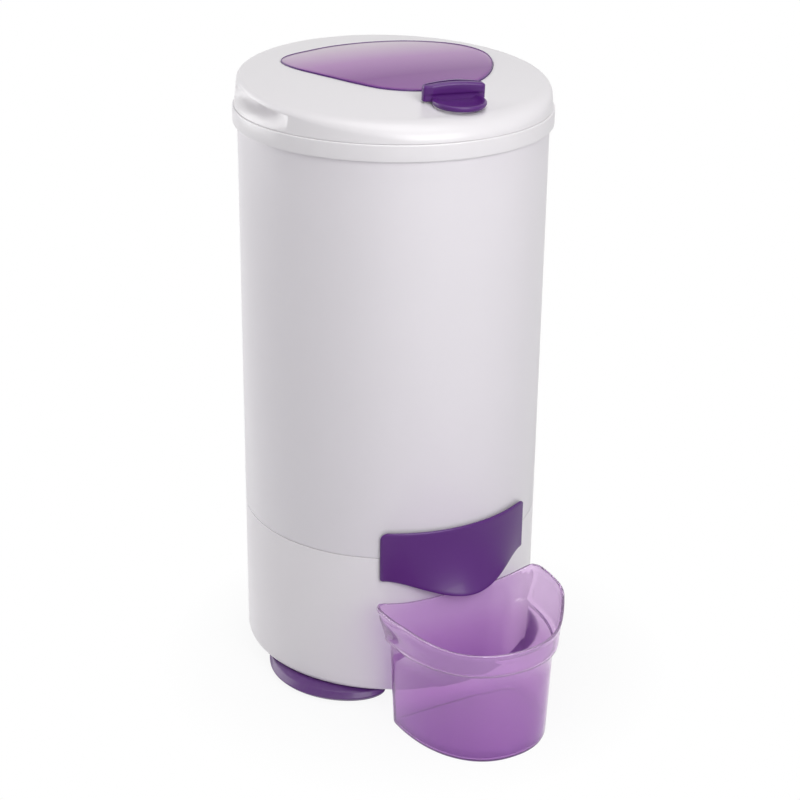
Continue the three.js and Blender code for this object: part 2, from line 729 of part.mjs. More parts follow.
function motorRotor() {
  return tube(shaftRadius + fit, rotorRadius, stackLow + 4, stackHigh - 4, rounds.motor);
}

function driveShaft() {
  return turned([
    [0, shaftBottom], [shaftRadius, shaftBottom, 1], [shaftRadius, shaftTop, 1.5], [0, shaftTop],
  ], rounds.small);
}

function coolingFan() {
  const [low, high] = [shaftBottom + 4, motorBottom - 4];
  const hub = tube(shaftRadius + fit, 15, low, high, rounds.small);
  const disc = tube(12, fanRadius - 6, high - 2, high, rounds.small);
  const root = 13;
  const blades = Array.from({ length: 6 }, (_, i) => {
    const vane = slabGeometry([[root, -0.9], [fanRadius, -0.9], [fanRadius, 0.9], [root, 0.9]], low, high);
    return solidOf(vane.rotateZ((i * Math.PI) / 3));
  });
  return joined(hub, disc, ...blades);
}

const brakeBottom = plateBottom + plateThickness + 8;

function brakeDrum() {
  const top = brakeBottom + brakeHeight;
  const [bore, inside] = [shaftRadius + fit, brakeRadius - 4];
  return turnedRing([
    [bore, brakeBottom], [16, brakeBottom], [16, top - 4], [inside, top - 4],
    [inside, brakeBottom], [brakeRadius, brakeBottom], [brakeRadius, top, 3], [bore, top],
  ], rounds.motor);
}

const brakePivot = polar(118, 66, 0);
const liningInner = brakeRadius + running;
const liningOuter = liningInner + 4;

function arcBand(inner, outer, from, to, low, high) {
  const [start, end] = [from * degrees, to * degrees];
  return slab([...arc(0, 0, outer, start, end, 6), ...arc(0, 0, inner, end, start, 6)], low, high);
}

function brakeLining() {
  return arcBand(liningInner, liningOuter, -32, 18, brakeBottom + 3, brakeBottom + brakeHeight - 3);
}

const pivotRadius = 4;

// The arm turns on the post: a shoe behind the lining, a link to the eye, and a horn for the cable.
function brakeArm() {
  const [low, high] = [brakeBottom + 6, brakeBottom + brakeHeight - 6];
  const shoe = arcBand(liningOuter + fit, liningOuter + fit + 4, -40, 26, low, high);
  const { x, y } = brakePivot;
  const linkEnds = [[-14, -18], [-4, -16], [6, 0], [2, 6], [-8, 0]];
  const linkOutline = linkEnds.map(([dx, dy]) => [x + dx, y + dy, 3]);
  const eye = standingRod(2 * pivotRadius, low - 1, high + 1, brakePivot);
  const horn = slab([[36, -31, 1], [42.5, -27.5, 1], [58, -48, 3], [51, -54, 3]], low, high);
  const pin = standingRod(pivotRadius + running, low - 5, high + 5, brakePivot);
  return without(joined(shoe, slab(linkOutline, low, high), eye, horn), pin);
}

function brakePivotPost() {
  const [low, top] = [plateBottom + plateThickness + fit, brakeBottom + brakeHeight];
  const shoulderTop = brakeBottom + 5 - fit;
  return standing([
    [0, low], [7, low], [7, shoulderTop], [pivotRadius, shoulderTop], [pivotRadius, top, 1], [0, top],
  ], brakePivot);
}

function mountPlate() {
  const corners = Object.values(footAngles).flatMap((angle) => {
    const [left, right] = [-1, 1].map((side) => polar(angle + side * 8, pillarRing + 16, 0));
    const valley = polar(angle + 60, motorRadius + 22, 0);
    return [[left.x, left.y, 10], [right.x, right.y, 10], [valley.x, valley.y, 40]];
  });
  const plate = slab(corners, plateBottom, plateBottom + plateThickness);
  return without(plate, rod(shaftRadius + 5, plateBottom - 1, plateBottom + plateThickness + 1));
}

function rubberBuffer(angle) {
  const [low, high] = [plateBottom - fit - bufferHeight, plateBottom - fit];
  return standing([
    [0, low], [bufferRadius, low], [bufferRadius, low + 5], [bufferRadius - 4, low + 9],
    [bufferRadius - 4, high - 9], [bufferRadius, high - 5], [bufferRadius, high], [0, high],
  ], polar(angle, pillarRing, 0));
}

// ---------------------------------------------------------------- things that stand in the base
const capacitorPlace = polar(-120, 118, 0);

function runCapacitor() {
  const low = baseWall + fit;
  const [can, cap] = [low + 68, low + 74];
  return standing([
    [0, low], [17, low], [17, can, 1.5], [13, can + 2], [13, cap], [0, cap],
  ], capacitorPlace, rounds.motor);
}

function terminalBlock() {
  const place = polar(122, 118, 0);
  const body = block(place.x - 24, place.x + 24, place.y - 11, place.y + 11, baseWall + fit, baseWall + 20);
  const wells = Array.from({ length: 5 }, (_, i) => {
    const well = new THREE.Vector3(place.x + 9 * (i - 2), place.y, 0);
    return standingRod(2.6, baseWall + 14, baseWall + 30, well, 6);
  });
  return without(body, ...wells);
}

function brakeCable() {
  const route = new THREE.CatmullRomCurve3([
    polar(20, 156, casingTop - 30), polar(20, 156, 480), polar(20, 156, 350), polar(20, 156, 240),
    polar(22, 148, 185), polar(30, 110, 165), new THREE.Vector3(60, -58, 158),
  ], false, 'catmullrom', 0.5);
  return pipe(route, 0, 2.4, 16, 6);
}

// ---------------------------------------------------------------- spout
function spoutCover() {
  const columns = 18;
  const rows = 6;
  const smooth = (t) => t * t * (3 - 2 * t);
  const sections = Array.from({ length: columns + 1 }, (_, i) => {
    const share = (2 * i) / columns - 1;
    const angle = share * cover.halfAngle;
    const fromSide = (cover.halfAngle - Math.abs(angle)) * degrees * casingRadius;
    const away = Math.max(0, cover.corner - fromSide);
    const corner = cover.corner - Math.sqrt(Math.max(0, cover.corner ** 2 - away ** 2));
    const swell = smooth(Math.max(0, 1 - Math.abs(share) / 0.9));
    const [top, low] = [cover.top - corner, cover.side - (cover.side - cover.lip) * swell + 0.6 * corner];
    const outside = (t) => casingRadius + cover.proud + (cover.belly - cover.proud) * swell * t ** 2.1;
    const wall = (r) => Math.max(casingRadius + fit, r - cover.wall);
    const down = Array.from({ length: rows + 1 }, (__, k) => k / rows);
    return [
      ...down.map((t) => polar(angle, outside(t), top - (top - low) * t)),
      ...down.reverse().map((t) => polar(angle, wall(outside(t)), top - (top - low) * t)),
    ];
  });
  return lofted(sections);
}

// ---------------------------------------------------------------- feet
function footSweep(halfAngle, section, steps) {
  return (angle) => lofted(Array.from({ length: steps + 1 }, (_, i) => {
    const share = (2 * i) / steps - 1;
    const swell = Math.sqrt(Math.max(0.12, 1 - share ** 6));
    return section(swell).map(([radius, height]) => polar(angle + share * halfAngle, radius, height));
  }));
}

const footBody = footSweep(foot.halfAngle, (swell) => {
  const middle = (foot.inner + foot.outer) / 2;
  const half = ((foot.outer - foot.inner) / 2) * swell;
  const low = floorLevel + padHeight;
  const depth = footHeight * (0.35 + 0.65 * swell);
  const under = Math.max(low, -depth);
  const [inside, outside] = [middle - half, middle + half];
  return [
    [inside, -fit], [inside + 1, -fit - depth / 2], [inside + foot.sole, under],
    [outside - foot.sole, under], [outside - 1, -fit - depth * 0.6], [outside, -fit],
  ];
}, 10);

const footPad = footSweep(foot.halfAngle - 6, (swell) => {
  const middle = (foot.inner + foot.outer) / 2;
  const half = ((foot.outer - foot.inner) / 2 - foot.sole - 3) * swell;
  return [
    [middle - half, floorLevel], [middle + half, floorLevel],
    [middle + half, floorLevel + padHeight - fit], [middle - half, floorLevel + padHeight - fit],
  ];
}, 6);

// ---------------------------------------------------------------- jug
// Plan of the jug: a full round front, rounded rear corners and a straight back, as [x, y] points.
function jugPlan(half, depth, rear) {
  const [frontSteps, cornerSteps, backSteps] = [22, 3, 4];
  const round = jug.cornerRound;
  const power = 2 / jug.fullness;
  const front = Array.from({ length: frontSteps + 1 }, (_, i) => {
    const bend = (i / frontSteps) * Math.PI;
    const [c, s] = [Math.cos(bend), Math.sin(bend)];
    return [half * Math.sign(c) * Math.abs(c) ** power, rear - round - (depth - round) * s ** power];
  });
  const corner = (x, from) => arc(x, rear - round, round, from, from - Math.PI / 2, cornerSteps);
  const straight = half - round;
  const back = Array.from({ length: backSteps - 1 }, (_, i) => [straight * ((2 * (i + 1)) / backSteps - 1), rear]);
  return [...front, ...corner(-straight, Math.PI).slice(1), ...back, ...corner(straight, Math.PI / 2).slice(0, -1)];
}

// Both rear sides of the rim grow into ears: 1 where the ear is full, 0 where it has ended.
function jugEar(x, y) {
  const side = Math.min(1, Math.abs(x) / jug.stepHalf);
  return side ** 4 * (1 - THREE.MathUtils.smoothstep(jugRear - y, jug.earFull, jug.earEnd));
}

function jugRimHeight(x, y) {
  const { lerp, smoothstep } = THREE.MathUtils;
  const plain = lerp(jug.rimRear, jug.rimFront, smoothstep(jugRear - y, 0, jug.earFull));
  return floorLevel + lerp(plain, jug.rimEar, jugEar(x, y));
}

// One ring of the jug; heightAt gives the height over a point of the plan, flare how far the ears stand out.
function jugRing(half, depth, rear, heightAt, flare = 0) {
  return jugPlan(half, depth, rear).map(([x, y]) => {
    const out = Math.sign(x) * jug.ear * flare * jugEar(x, y);
    return new THREE.Vector3(jug.centre + x + out, y, heightAt(x, y));
  });
}

function jugBody() {
  const { bottomHalf, bottomDepth, stepHalf, stepDepth, wall, bead } = jug;
  const rear = jugRear;
  const [rimHalf, rimDepth] = [stepHalf + jug.collarOut, stepDepth + jug.collarOut];
  const bottom = floorLevel + jug.lift;
  const step = floorLevel + jug.stepHeight;
  const level = (z) => () => z;
  const rim = (drop) => (x, y) => jugRimHeight(x, y) - drop;
  const inside = rear - wall;
  return lofted([
    jugRing(bottomHalf - 5, bottomDepth - 6, rear - 2, level(bottom)),
    jugRing(bottomHalf, bottomDepth, rear, level(bottom + 5)),
    jugRing(stepHalf, stepDepth, rear, level(step)),
    jugRing(rimHalf, rimDepth, rear, level(step + 4), 0.1),
    jugRing(rimHalf + 0.6, rimDepth + 0.6, rear, rim(8), 0.8),
    jugRing(rimHalf + bead, rimDepth + bead, rear, rim(2), 1),
    jugRing(rimHalf, rimDepth, rear - wall / 2, rim(0), 1),
    jugRing(rimHalf - wall, rimDepth - 2 * wall, inside, rim(1), 1),
    jugRing(rimHalf - wall, rimDepth - 2 * wall, inside, level(step + 5), 0.1),
    jugRing(stepHalf - wall, stepDepth - 2 * wall, inside, level(step + 1)),
    jugRing(bottomHalf - wall, bottomDepth - 2 * wall, inside, level(bottom + 6 + wall)),
    jugRing(bottomHalf - 6 - wall, bottomDepth - 8 - 2 * wall, inside - 4, level(bottom + wall)),
  ]);
}

// ---------------------------------------------------------------- materials
const finish = (color, roughness, metalness = 0, opacity = 1) => () => new THREE.MeshStandardMaterial(
  { color, roughness, metalness, opacity, transparent: opacity < 1 },
);
const whiteGloss = finish(0xe6e2e6, 0.3);
const violetGloss = finish(0x4e2669, 0.25);
const violetClear = finish(0x9a5cb4, 0.2, 0, 0.5);
const palePlastic = finish(0xd9d6d8, 0.5);
const rubber = finish(0x2a2a2c, 0.8);
const stainless = finish(0xc9cbce, 0.3, 1);
const steel = finish(0x9a9da1, 0.4, 1);
const darkPlastic = finish(0x333338, 0.55);
const castAlloy = finish(0xa8aaad, 0.5, 0.9);
const copper = finish(0xb0683c, 0.45, 0.8);

// ---------------------------------------------------------------- assembly
const part = new THREE.Group();
const machine = new THREE.Group();
part.add(machine);

function place(name, solid, material, group = machine) {
  const mesh = new THREE.Mesh(geometryOf(solid), material());
  mesh.name = name;
  group.add(mesh);
  return mesh;
}

place('base_housing', baseHousing(), whiteGloss);
place('outer_casing', outerCasing(), whiteGloss);
place('top_collar', topCollar(), whiteGloss);
place('spout_cover', spoutCover(), violetGloss);
place('drain_nozzle', drainNozzle(), palePlastic);
place('water_tub', waterTub(), palePlastic);
place('shaft_seal', shaftSeal(), rubber);
for (const [side, angle] of Object.entries(footAngles)) {
  place(`${side}_foot`, footBody(angle), violetGloss);
  place(`${side}_foot_pad`, footPad(angle), rubber);
  place(`${side}_rubber_buffer`, rubberBuffer(angle), rubber);
}
place('motor_mount_plate', mountPlate(), steel);
place('motor_housing', motorHousing(), castAlloy);
place('motor_end_cap', motorEndCap(), castAlloy);
place('motor_stator', motorStator(), copper);
place('upper_bearing', bearing(upperBearingTop - bearingHeight), steel);
place('lower_bearing', bearing(lowerBearingBottom), steel);
place('run_capacitor', runCapacitor(), palePlastic);
place('terminal_block', terminalBlock(), darkPlastic);
place('brake_pivot_post', brakePivotPost(), steel);
place('brake_cable', brakeCable(), darkPlastic);
place('interlock_switch', interlockSwitch(), darkPlastic);
place('hinge_bracket', hingeBracket(), whiteGloss);
place('hinge_pin', hingePin(), steel);
const glandMesh = place('cord_gland', cordGland(), darkPlastic);
glandMesh.rotation.x = -Math.PI / 2;
glandMesh.position.set(0, casingRadius, glandHeight);

place('interlock_plunger', interlockPlunger(), darkPlastic);
place('brake_arm', brakeArm(), steel);
place('brake_lining', brakeLining(), rubber);

place('drum_shell', drumShell(), stainless);
place('drum_base', drumBase(), stainless);
place('drum_hub', drumHub(), castAlloy);
place('drum_rim_ring', drumRimRing(), palePlastic);
place('hub_nut', hubNut(), steel);
place('drive_shaft', driveShaft(), steel);
place('motor_rotor', motorRotor(), steel);
place('cooling_fan', coolingFan(), darkPlastic);
place('brake_drum', brakeDrum(), castAlloy);

place('lid_shell', lidShell(), whiteGloss);
place('lid_window', lidWindow(), violetClear);
place('lid_liner', lidLiner(), palePlastic);
place('lid_seal', lidSeal(), rubber);
place('lid_hinge_leaf', lidHingeLeaf(), whiteGloss);

const lock = new THREE.Group();
lock.applyMatrix4(leverFrame);
machine.add(lock);
place('lock_lever', lockLever(), violetGloss, lock);
place('latch_spindle', latchSpindle(), steel, lock);
place('spindle_clip', spindleClip(), steel, lock);
const tongueMesh = place('latch_tongue', latchTongue(), steel, lock);
tongueMesh.rotation.z = -lever.turn * degrees;

place('drain_jug', jugBody(), violetClear);

// The origin is on the floor, under the middle of the whole object.
part.updateMatrixWorld(true);
const extent = new THREE.Box3().setFromObject(part, true);
const middle = extent.getCenter(new THREE.Vector3());
machine.position.set(-middle.x, -middle.y, -extent.min.z);
part.updateMatrixWorld(true);

export default part;
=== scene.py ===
# Looks of a laundry spin dryer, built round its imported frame. Piece sizes are in mm,
# counted from the machine's axis and the bottom edge of its base; the front is towards -Y.
import json
import math

import bmesh
import bpy
from mathutils import Matrix, Vector


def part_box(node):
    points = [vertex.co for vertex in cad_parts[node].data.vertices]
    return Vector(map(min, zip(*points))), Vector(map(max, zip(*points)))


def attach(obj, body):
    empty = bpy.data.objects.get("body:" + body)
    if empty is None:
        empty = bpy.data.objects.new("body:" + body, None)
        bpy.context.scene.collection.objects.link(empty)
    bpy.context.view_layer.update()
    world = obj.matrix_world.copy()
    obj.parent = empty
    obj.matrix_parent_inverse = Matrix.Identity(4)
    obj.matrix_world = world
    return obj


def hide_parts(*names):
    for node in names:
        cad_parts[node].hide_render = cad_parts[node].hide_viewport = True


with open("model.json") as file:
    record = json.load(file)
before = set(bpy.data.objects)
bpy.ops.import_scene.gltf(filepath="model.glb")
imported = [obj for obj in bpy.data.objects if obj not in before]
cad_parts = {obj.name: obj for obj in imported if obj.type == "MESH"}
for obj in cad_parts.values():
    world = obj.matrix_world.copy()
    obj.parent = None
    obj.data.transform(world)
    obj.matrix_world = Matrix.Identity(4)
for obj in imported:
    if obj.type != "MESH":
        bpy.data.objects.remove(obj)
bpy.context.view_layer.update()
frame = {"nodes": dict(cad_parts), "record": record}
nodes = frame["nodes"]
mm = 0.001
weld = mm / 500  # points closer than this are one

casingLow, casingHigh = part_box("outer_casing")
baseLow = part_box("base_housing")[0]
machine = Vector(((casingLow.x + casingHigh.x) / 2, (casingLow.y + casingHigh.y) / 2, baseLow.z))
floorLevel = -machine.z / mm
print("frame loaded")


def smoothStep(t):
    t = min(1, max(0, t))
    return t * t * (3 - 2 * t)


def mix(a, b, t):
    return a + (b - a) * t


def polar(angle, radius, height):  # angle in degrees from the front towards +X
    turn = math.radians(angle)
    return Vector((radius * math.sin(turn), -radius * math.cos(turn), height))


def eased(count, crowd=0.5):  # shares from 0 to 1, closer together at both ends
    shares = [i / count for i in range(count + 1)]
    return [mix(t, 0.5 - 0.5 * math.cos(math.pi * t), crowd) for t in shares]


def turned(profile, steps=192, segments=4):  # corners of (radius, height, softness) spun round the axis
    bm = bmesh.new()
    verts = [bm.verts.new((corner[0] * mm, 0, corner[1] * mm)) for corner in profile]
    following = verts[1:] + verts[:1] if profile[0][0] > 0 else verts[1:]
    edges = [bm.edges.new(pair) for pair in zip(verts, following)]
    bmesh.ops.spin(bm, geom=verts + edges, cent=(0, 0, 0), axis=(0, 0, 1), angle=2 * math.pi,
                   steps=steps, use_merge=True)
    bmesh.ops.remove_doubles(bm, verts=bm.verts[:], dist=weld)
    for softness in sorted({corner[2] for corner in profile if len(corner) > 2}):
        soft = {(round(c[0], 2), round(c[1], 2)) for c in profile if len(c) > 2 and c[2] == softness}
        places = {v: (round(math.hypot(v.co.x, v.co.y) / mm, 2), round(v.co.z / mm, 2)) for v in bm.verts}
        rims = [e for e in bm.edges if places[e.verts[0]] in soft
                and places[e.verts[0]] == places[e.verts[1]]]
        softened(bm, rims, softness, segments)
    return bm


def softened(bm, edges, softness, segments):
    bmesh.ops.bevel(bm, geom=edges, offset=softness * mm, offset_type="OFFSET", affect="EDGES",
                    segments=segments, profile=0.5, clamp_overlap=True, material=-1)


def skinned(loops):  # a skin over closed loops of points; loops that shrink to a point close it
    bm = bmesh.new()
    columns, rows = len(loops[0]), len(loops)
    bmesh.ops.create_grid(bm, x_segments=columns, y_segments=rows - 1, size=0.5)
    for vert in bm.verts:
        column = round((vert.co.x + 0.5) * columns) % columns
        row = round((vert.co.y + 0.5) * (rows - 1))
        vert.co = loops[row][column] * mm
    bmesh.ops.remove_doubles(bm, verts=bm.verts[:], dist=weld)
    return bm


def facedOut(bm):
    bmesh.ops.recalc_face_normals(bm, faces=bm.faces[:])
    return bm


def moved(bm, matrix):
    bmesh.ops.transform(bm, matrix=matrix, verts=bm.verts[:])
    return bm


def rotated(bm, degrees, axis):
    turn = Matrix.Rotation(math.radians(degrees), 3, axis)
    bmesh.ops.rotate(bm, cent=(0, 0, 0), matrix=turn, verts=bm.verts[:])
    return bm


def shifted(bm, step):
    bmesh.ops.translate(bm, vec=Vector(step) * mm, verts=bm.verts[:])
    return bm


def ofKind(grown, kind):  # the new vertices or edges of an extrusion
    return [part for part in grown["geom"] if isinstance(part, kind)]


def meshOf(bm, name):
    mesh = bpy.data.meshes.new(name)
    bm.to_mesh(mesh)
    bm.free()
    return mesh


def onMachine(bm, name):
    mesh = meshOf(facedOut(bm), name)
    mesh.transform(Matrix.Translation(machine))
    return mesh


def smoothed(mesh, sharp):  # smooth, but for edges that turn by more than this many degrees
    mesh.polygons.foreach_set("use_smooth", [True] * len(mesh.polygons))
    mesh.set_sharp_from_angle(angle=math.radians(sharp))


def linked(name, data):
    thing = bpy.data.objects.new(name, data)
    bpy.context.scene.collection.objects.link(thing)
    return thing


# a piece in its slot's finish, or in one of its own; stands lists the nodes that it replaces
def finished(bm, name, body, slotName, stands=(), sharp=35, finish=None):
    mesh = onMachine(bm, name)
    smoothed(mesh, sharp)
    mesh.materials.append(finish or slotFinish[slotName])
    piece = linked(name, mesh)
    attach(piece, body)
    if stands:
        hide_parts(*stands)
    return piece


def carved(piece, cutters, sharp=35, operation="DIFFERENCE", solver="EXACT"):
    tools = [linked("cutter", onMachine(bm, "cutter")) for bm in cutters]
    for tool in tools:
        change = piece.modifiers.new("cut", "BOOLEAN")
        change.operation = operation
        change.solver = solver
        change.object = tool
    seen = piece.evaluated_get(bpy.context.evaluated_depsgraph_get())
    mesh = bpy.data.meshes.new_from_object(seen)
    piece.modifiers.clear()
    piece.data = mesh
    smoothed(mesh, sharp)
    for tool in tools:
        bpy.data.objects.remove(tool)


def block(low, high, softness=0.0):
    bm = bmesh.new()
    bmesh.ops.create_cube(bm, size=1)
    low, high = Vector(low), Vector(high)
    size = high - low
    for vert in bm.verts:
        vert.co = Vector([(low[i] + size[i] * (vert.co[i] + 0.5)) * mm for i in range(3)])
    if softness:
        softened(bm, bm.edges[:], softness, 2)
    return bm


def rod(start, end, radius, softness=0.0):  # a round bar between two points
    bm = bmesh.new()
    start, end = Vector(start) * mm, Vector(end) * mm
    along = end - start
    bmesh.ops.create_cone(bm, cap_ends=True, segments=48, radius1=radius * mm, radius2=radius * mm,
                          depth=along.length)
    if softness:
        rims = [e for e in bm.edges if abs(e.verts[0].co.z - e.verts[1].co.z) < mm / 100]
        softened(bm, rims, softness, 3)
    turn = Vector((0, 0, 1)).rotation_difference(along.normalized()).to_matrix().to_4x4()
    return moved(bm, Matrix.Translation((start + end) / 2) @ turn)


def together(*parts):
    whole = bmesh.new()
    for bm in parts:
        mesh = meshOf(facedOut(bm), "part")
        whole.from_mesh(mesh)
        bpy.data.meshes.remove(mesh)
    return whole


def rounded(corners, steps):  # an outline of (x, y, fillet radius) corners as points
    points = []
    for i, corner in enumerate(corners):
        here = Vector(corner[:2])
        radius = corner[2] if len(corner) > 2 else 0
        back = Vector(corners[i - 1][:2]) - here
        on = Vector(corners[(i + 1) % len(corners)][:2]) - here
        if not radius:
            points.append(here)
            continue
        reach = min(back.length, on.length)
        half = back.angle(on) / 2
        setback = min(radius / math.tan(half), 0.48 * reach)
        start, end = here + back.normalized() * setback, here + on.normalized() * setback
        for k in range(steps + 1):
            t = k / steps
            points.append(start.lerp(here, t).lerp(here.lerp(end, t), t))
    return points


def evenly(points, count):  # the same closed outline with points at even distances
    lengths = [0]
    for a, b in zip(points, points[1:] + points[:1]):
        lengths.append(lengths[-1] + (b - a).length)
    found = []
    k = 0
    for i in range(count):
        want = lengths[-1] * i / count
        while lengths[k + 1] < want:
            k += 1
        share = (want - lengths[k]) / max(1e-9, lengths[k + 1] - lengths[k])
        found.append(points[k].lerp(points[(k + 1) % len(points)], share))
    return found


def shaderGroup(name, inputs, outputs=("Color", "Roughness", "Height")):
    group = bpy.data.node_groups.new(name, "ShaderNodeTree")
    for label, value in inputs.items():
        kind = "NodeSocketColor" if isinstance(value, tuple) else "NodeSocketFloat"
        group.interface.new_socket(name=label, in_out="INPUT", socket_type=kind).default_value = value
    for label in outputs:
        kind = "NodeSocketColor" if label == "Color" else "NodeSocketFloat"
        group.interface.new_socket(name=label, in_out="OUTPUT", socket_type=kind)
    return group, group.nodes.new("NodeGroupInput").outputs, group.nodes.new("NodeGroupOutput")


def wired(tree, node, values):  # sets each input, or links it where its value is another node's output
    for key, value in values.items():
        if isinstance(value, bpy.types.NodeSocket):
            tree.links.new(value, node.inputs[key])
        else:
            node.inputs[key].default_value = value
    return node


def addNode(tree, kind, values=None, **settings):
    node = tree.nodes.new("ShaderNode" + kind)
    for key, value in settings.items():
        setattr(node, key, value)
    return wired(tree, node, values or {})


def calculated(tree, operation, first, second=0):
    return addNode(tree, "Math", {0: first, 1: second}, operation=operation).outputs[0]


def objectSpot(tree):
    return addNode(tree, "TexCoord").outputs["Object"]


def noiseOf(tree, scale, detail, vector, roughness=0.5):
    values = {"Vector": vector, "Scale": scale, "Detail": detail, "Roughness": roughness}
    return addNode(tree, "TexNoise", values).outputs["Fac"]


def mixedColour(tree, share, first, second):
    return addNode(tree, "Mix", {0: share, 6: first, 7: second}, data_type="RGBA").outputs[2]


def scaledColour(tree, colour, factor):
    return addNode(tree, "VectorMath", {0: colour, "Scale": factor}, operation="SCALE").outputs[0]


def mouldedSkinGroup():  # the faint mottling and orange peel of moulded or painted skins
    group, given, put = shaderGroup("mouldedSkin", {"Color": (1, 1, 1, 1), "Tone": 0.03, "Roughness": 0.3,
                                                    "Grain Size": 1.2, "Grain Depth": 0.3})
    spot = objectSpot(group)
    cloud = calculated(group, "SUBTRACT", noiseOf(group, 9, 3, spot), 0.5)
    grain = noiseOf(group, calculated(group, "DIVIDE", 1000, given["Grain Size"]), 2, spot, 0.6)
    shade = calculated(group, "MULTIPLY", cloud, given["Tone"])
    bright = calculated(group, "ADD", 1, calculated(group, "MULTIPLY", shade, 2))
    uneven = calculated(group, "MULTIPLY", cloud, 0.16)
    fine = calculated(group, "MULTIPLY", calculated(group, "SUBTRACT", grain, 0.5), 0.08)
    rough = calculated(group, "ADD", given["Roughness"], calculated(group, "ADD", uneven, fine))
    wired(group, put, {"Color": scaledColour(group, given["Color"], bright), "Roughness": rough,
                       "Height": calculated(group, "MULTIPLY", grain, given["Grain Depth"])})
    return group


def turningMarksGroup():  # fine lines round the machine's axis, as on spun or turned metal
    group, given, put = shaderGroup("turningMarks", {"Color": (1, 1, 1, 1), "Contrast": 0.15,
                                                     "Roughness": 0.3, "Line Pitch": 0.6})
    centred = addNode(group, "Mapping", {"Vector": objectSpot(group),
                                         "Location": (-machine.x, -machine.y, 0)})
    x, y, z = addNode(group, "SeparateXYZ", {0: centred.outputs[0]}).outputs
    squares = calculated(group, "ADD", calculated(group, "MULTIPLY", x, x),
                         calculated(group, "MULTIPLY", y, y))
    turn = calculated(group, "MULTIPLY", calculated(group, "ARCTAN2", y, x), 0.004)
    rings = addNode(group, "CombineXYZ", {0: turn, 1: calculated(group, "SQRT", squares), 2: z})
    pitch = calculated(group, "DIVIDE", 1000, given["Line Pitch"])
    mark = calculated(group, "SUBTRACT", noiseOf(group, pitch, 4, rings.outputs[0], 0.7), 0.5)
    bright = calculated(group, "ADD", 1, calculated(group, "MULTIPLY", mark, given["Contrast"]))
    rough = calculated(group, "ADD", given["Roughness"], calculated(group, "MULTIPLY", mark, 0.35))
    wired(group, put, {"Color": scaledColour(group, given["Color"], bright), "Roughness": rough,
                       "Height": mark})
    return group


def floorScuffGroup():  # a little grime and dullness low down, where the machine meets the floor
    group, given, put = shaderGroup("floorScuff", {"Color": (1, 1, 1, 1), "Grime": (0.3, 0.28, 0.27, 1),
                                                   "Reach": 0.03, "Strength": 0.3, "Roughness": 0.3},
                                    ("Color", "Roughness"))
    spot = objectSpot(group)
    height = addNode(group, "SeparateXYZ", {0: spot}).outputs["Z"]
    low = addNode(group, "MapRange", {"Value": height, "From Min": 0.0, "From Max": given["Reach"],
                                      "To Min": 1.0, "To Max": 0.0}, clamp=True)
    patches = calculated(group, "MULTIPLY", low.outputs[0], noiseOf(group, 45, 5, spot, 0.65))
    share = calculated(group, "MULTIPLY", patches, given["Strength"])
    rough = calculated(group, "ADD", given["Roughness"], calculated(group, "MULTIPLY", share, 0.5))
    wired(group, put, {"Color": mixedColour(group, share, given["Color"], given["Grime"]),
                       "Roughness": rough})
    return group


mouldedSkin = mouldedSkinGroup()
turningMarks = turningMarksGroup()
floorScuff = floorScuffGroup()


def paint(red, green, blue):  # a colour given as it shows, 0 to 255
    def linear(c):
        c /= 255
        return c / 12.92 if c <= 0.04045 else ((c + 0.055) / 1.055) ** 2.4
    return (linear(red), linear(green), linear(blue), 1)


def bareMaterial(name, shown):
    material = bpy.data.materials.new(name)
    material.use_nodes = True
    material.diffuse_color = shown
    return material, material.node_tree, material.node_tree.nodes["Principled BSDF"]


def placed(tree, group, values):
    return addNode(tree, "Group", values, node_tree=group).outputs


def dressed(tree, shader, skin, height, strength, distance):
    bump = addNode(tree, "Bump", {"Strength": strength, "Distance": distance, "Height": height})
    wired(tree, shader, {"Base Color": skin["Color"], "Roughness": skin["Roughness"],
                         "Normal": bump.outputs[0]})


def mixedShader(tree, share, first, second, output):
    either = addNode(tree, "MixShader", {0: share, 1: first.outputs[0], 2: second.outputs[0]})
    tree.links.new(either.outputs[0], tree.nodes[output].inputs["Surface"])


def mouldedFinish(name, colour, roughness, tone=0.012, grain=1.0, depth=0.5, scuff=0.0, **shine):
    material, tree, shader = bareMaterial(name, colour)
    skin = placed(tree, mouldedSkin, {"Color": colour, "Tone": tone, "Roughness": roughness,
                                      "Grain Size": grain, "Grain Depth": depth})
    worn = skin
    if scuff:
        worn = placed(tree, floorScuff, {"Color": skin["Color"], "Roughness": skin["Roughness"],
                                         "Strength": scuff})
    dressed(tree, shader, worn, skin["Height"], 0.25, 0.0002)
    wired(tree, shader, {key.replace("_", " "): value for key, value in shine.items()})
    return material


def metalFinish(name, colour, roughness, contrast=0.15, pitch=0.6):
    material, tree, shader = bareMaterial(name, colour)
    marks = placed(tree, turningMarks, {"Color": colour, "Contrast": contrast, "Roughness": roughness,
                                        "Line Pitch": pitch})
    dressed(tree, shader, marks, marks["Height"], 0.2, 0.0001)
    shader.inputs["Metallic"].default_value = 1
    return material


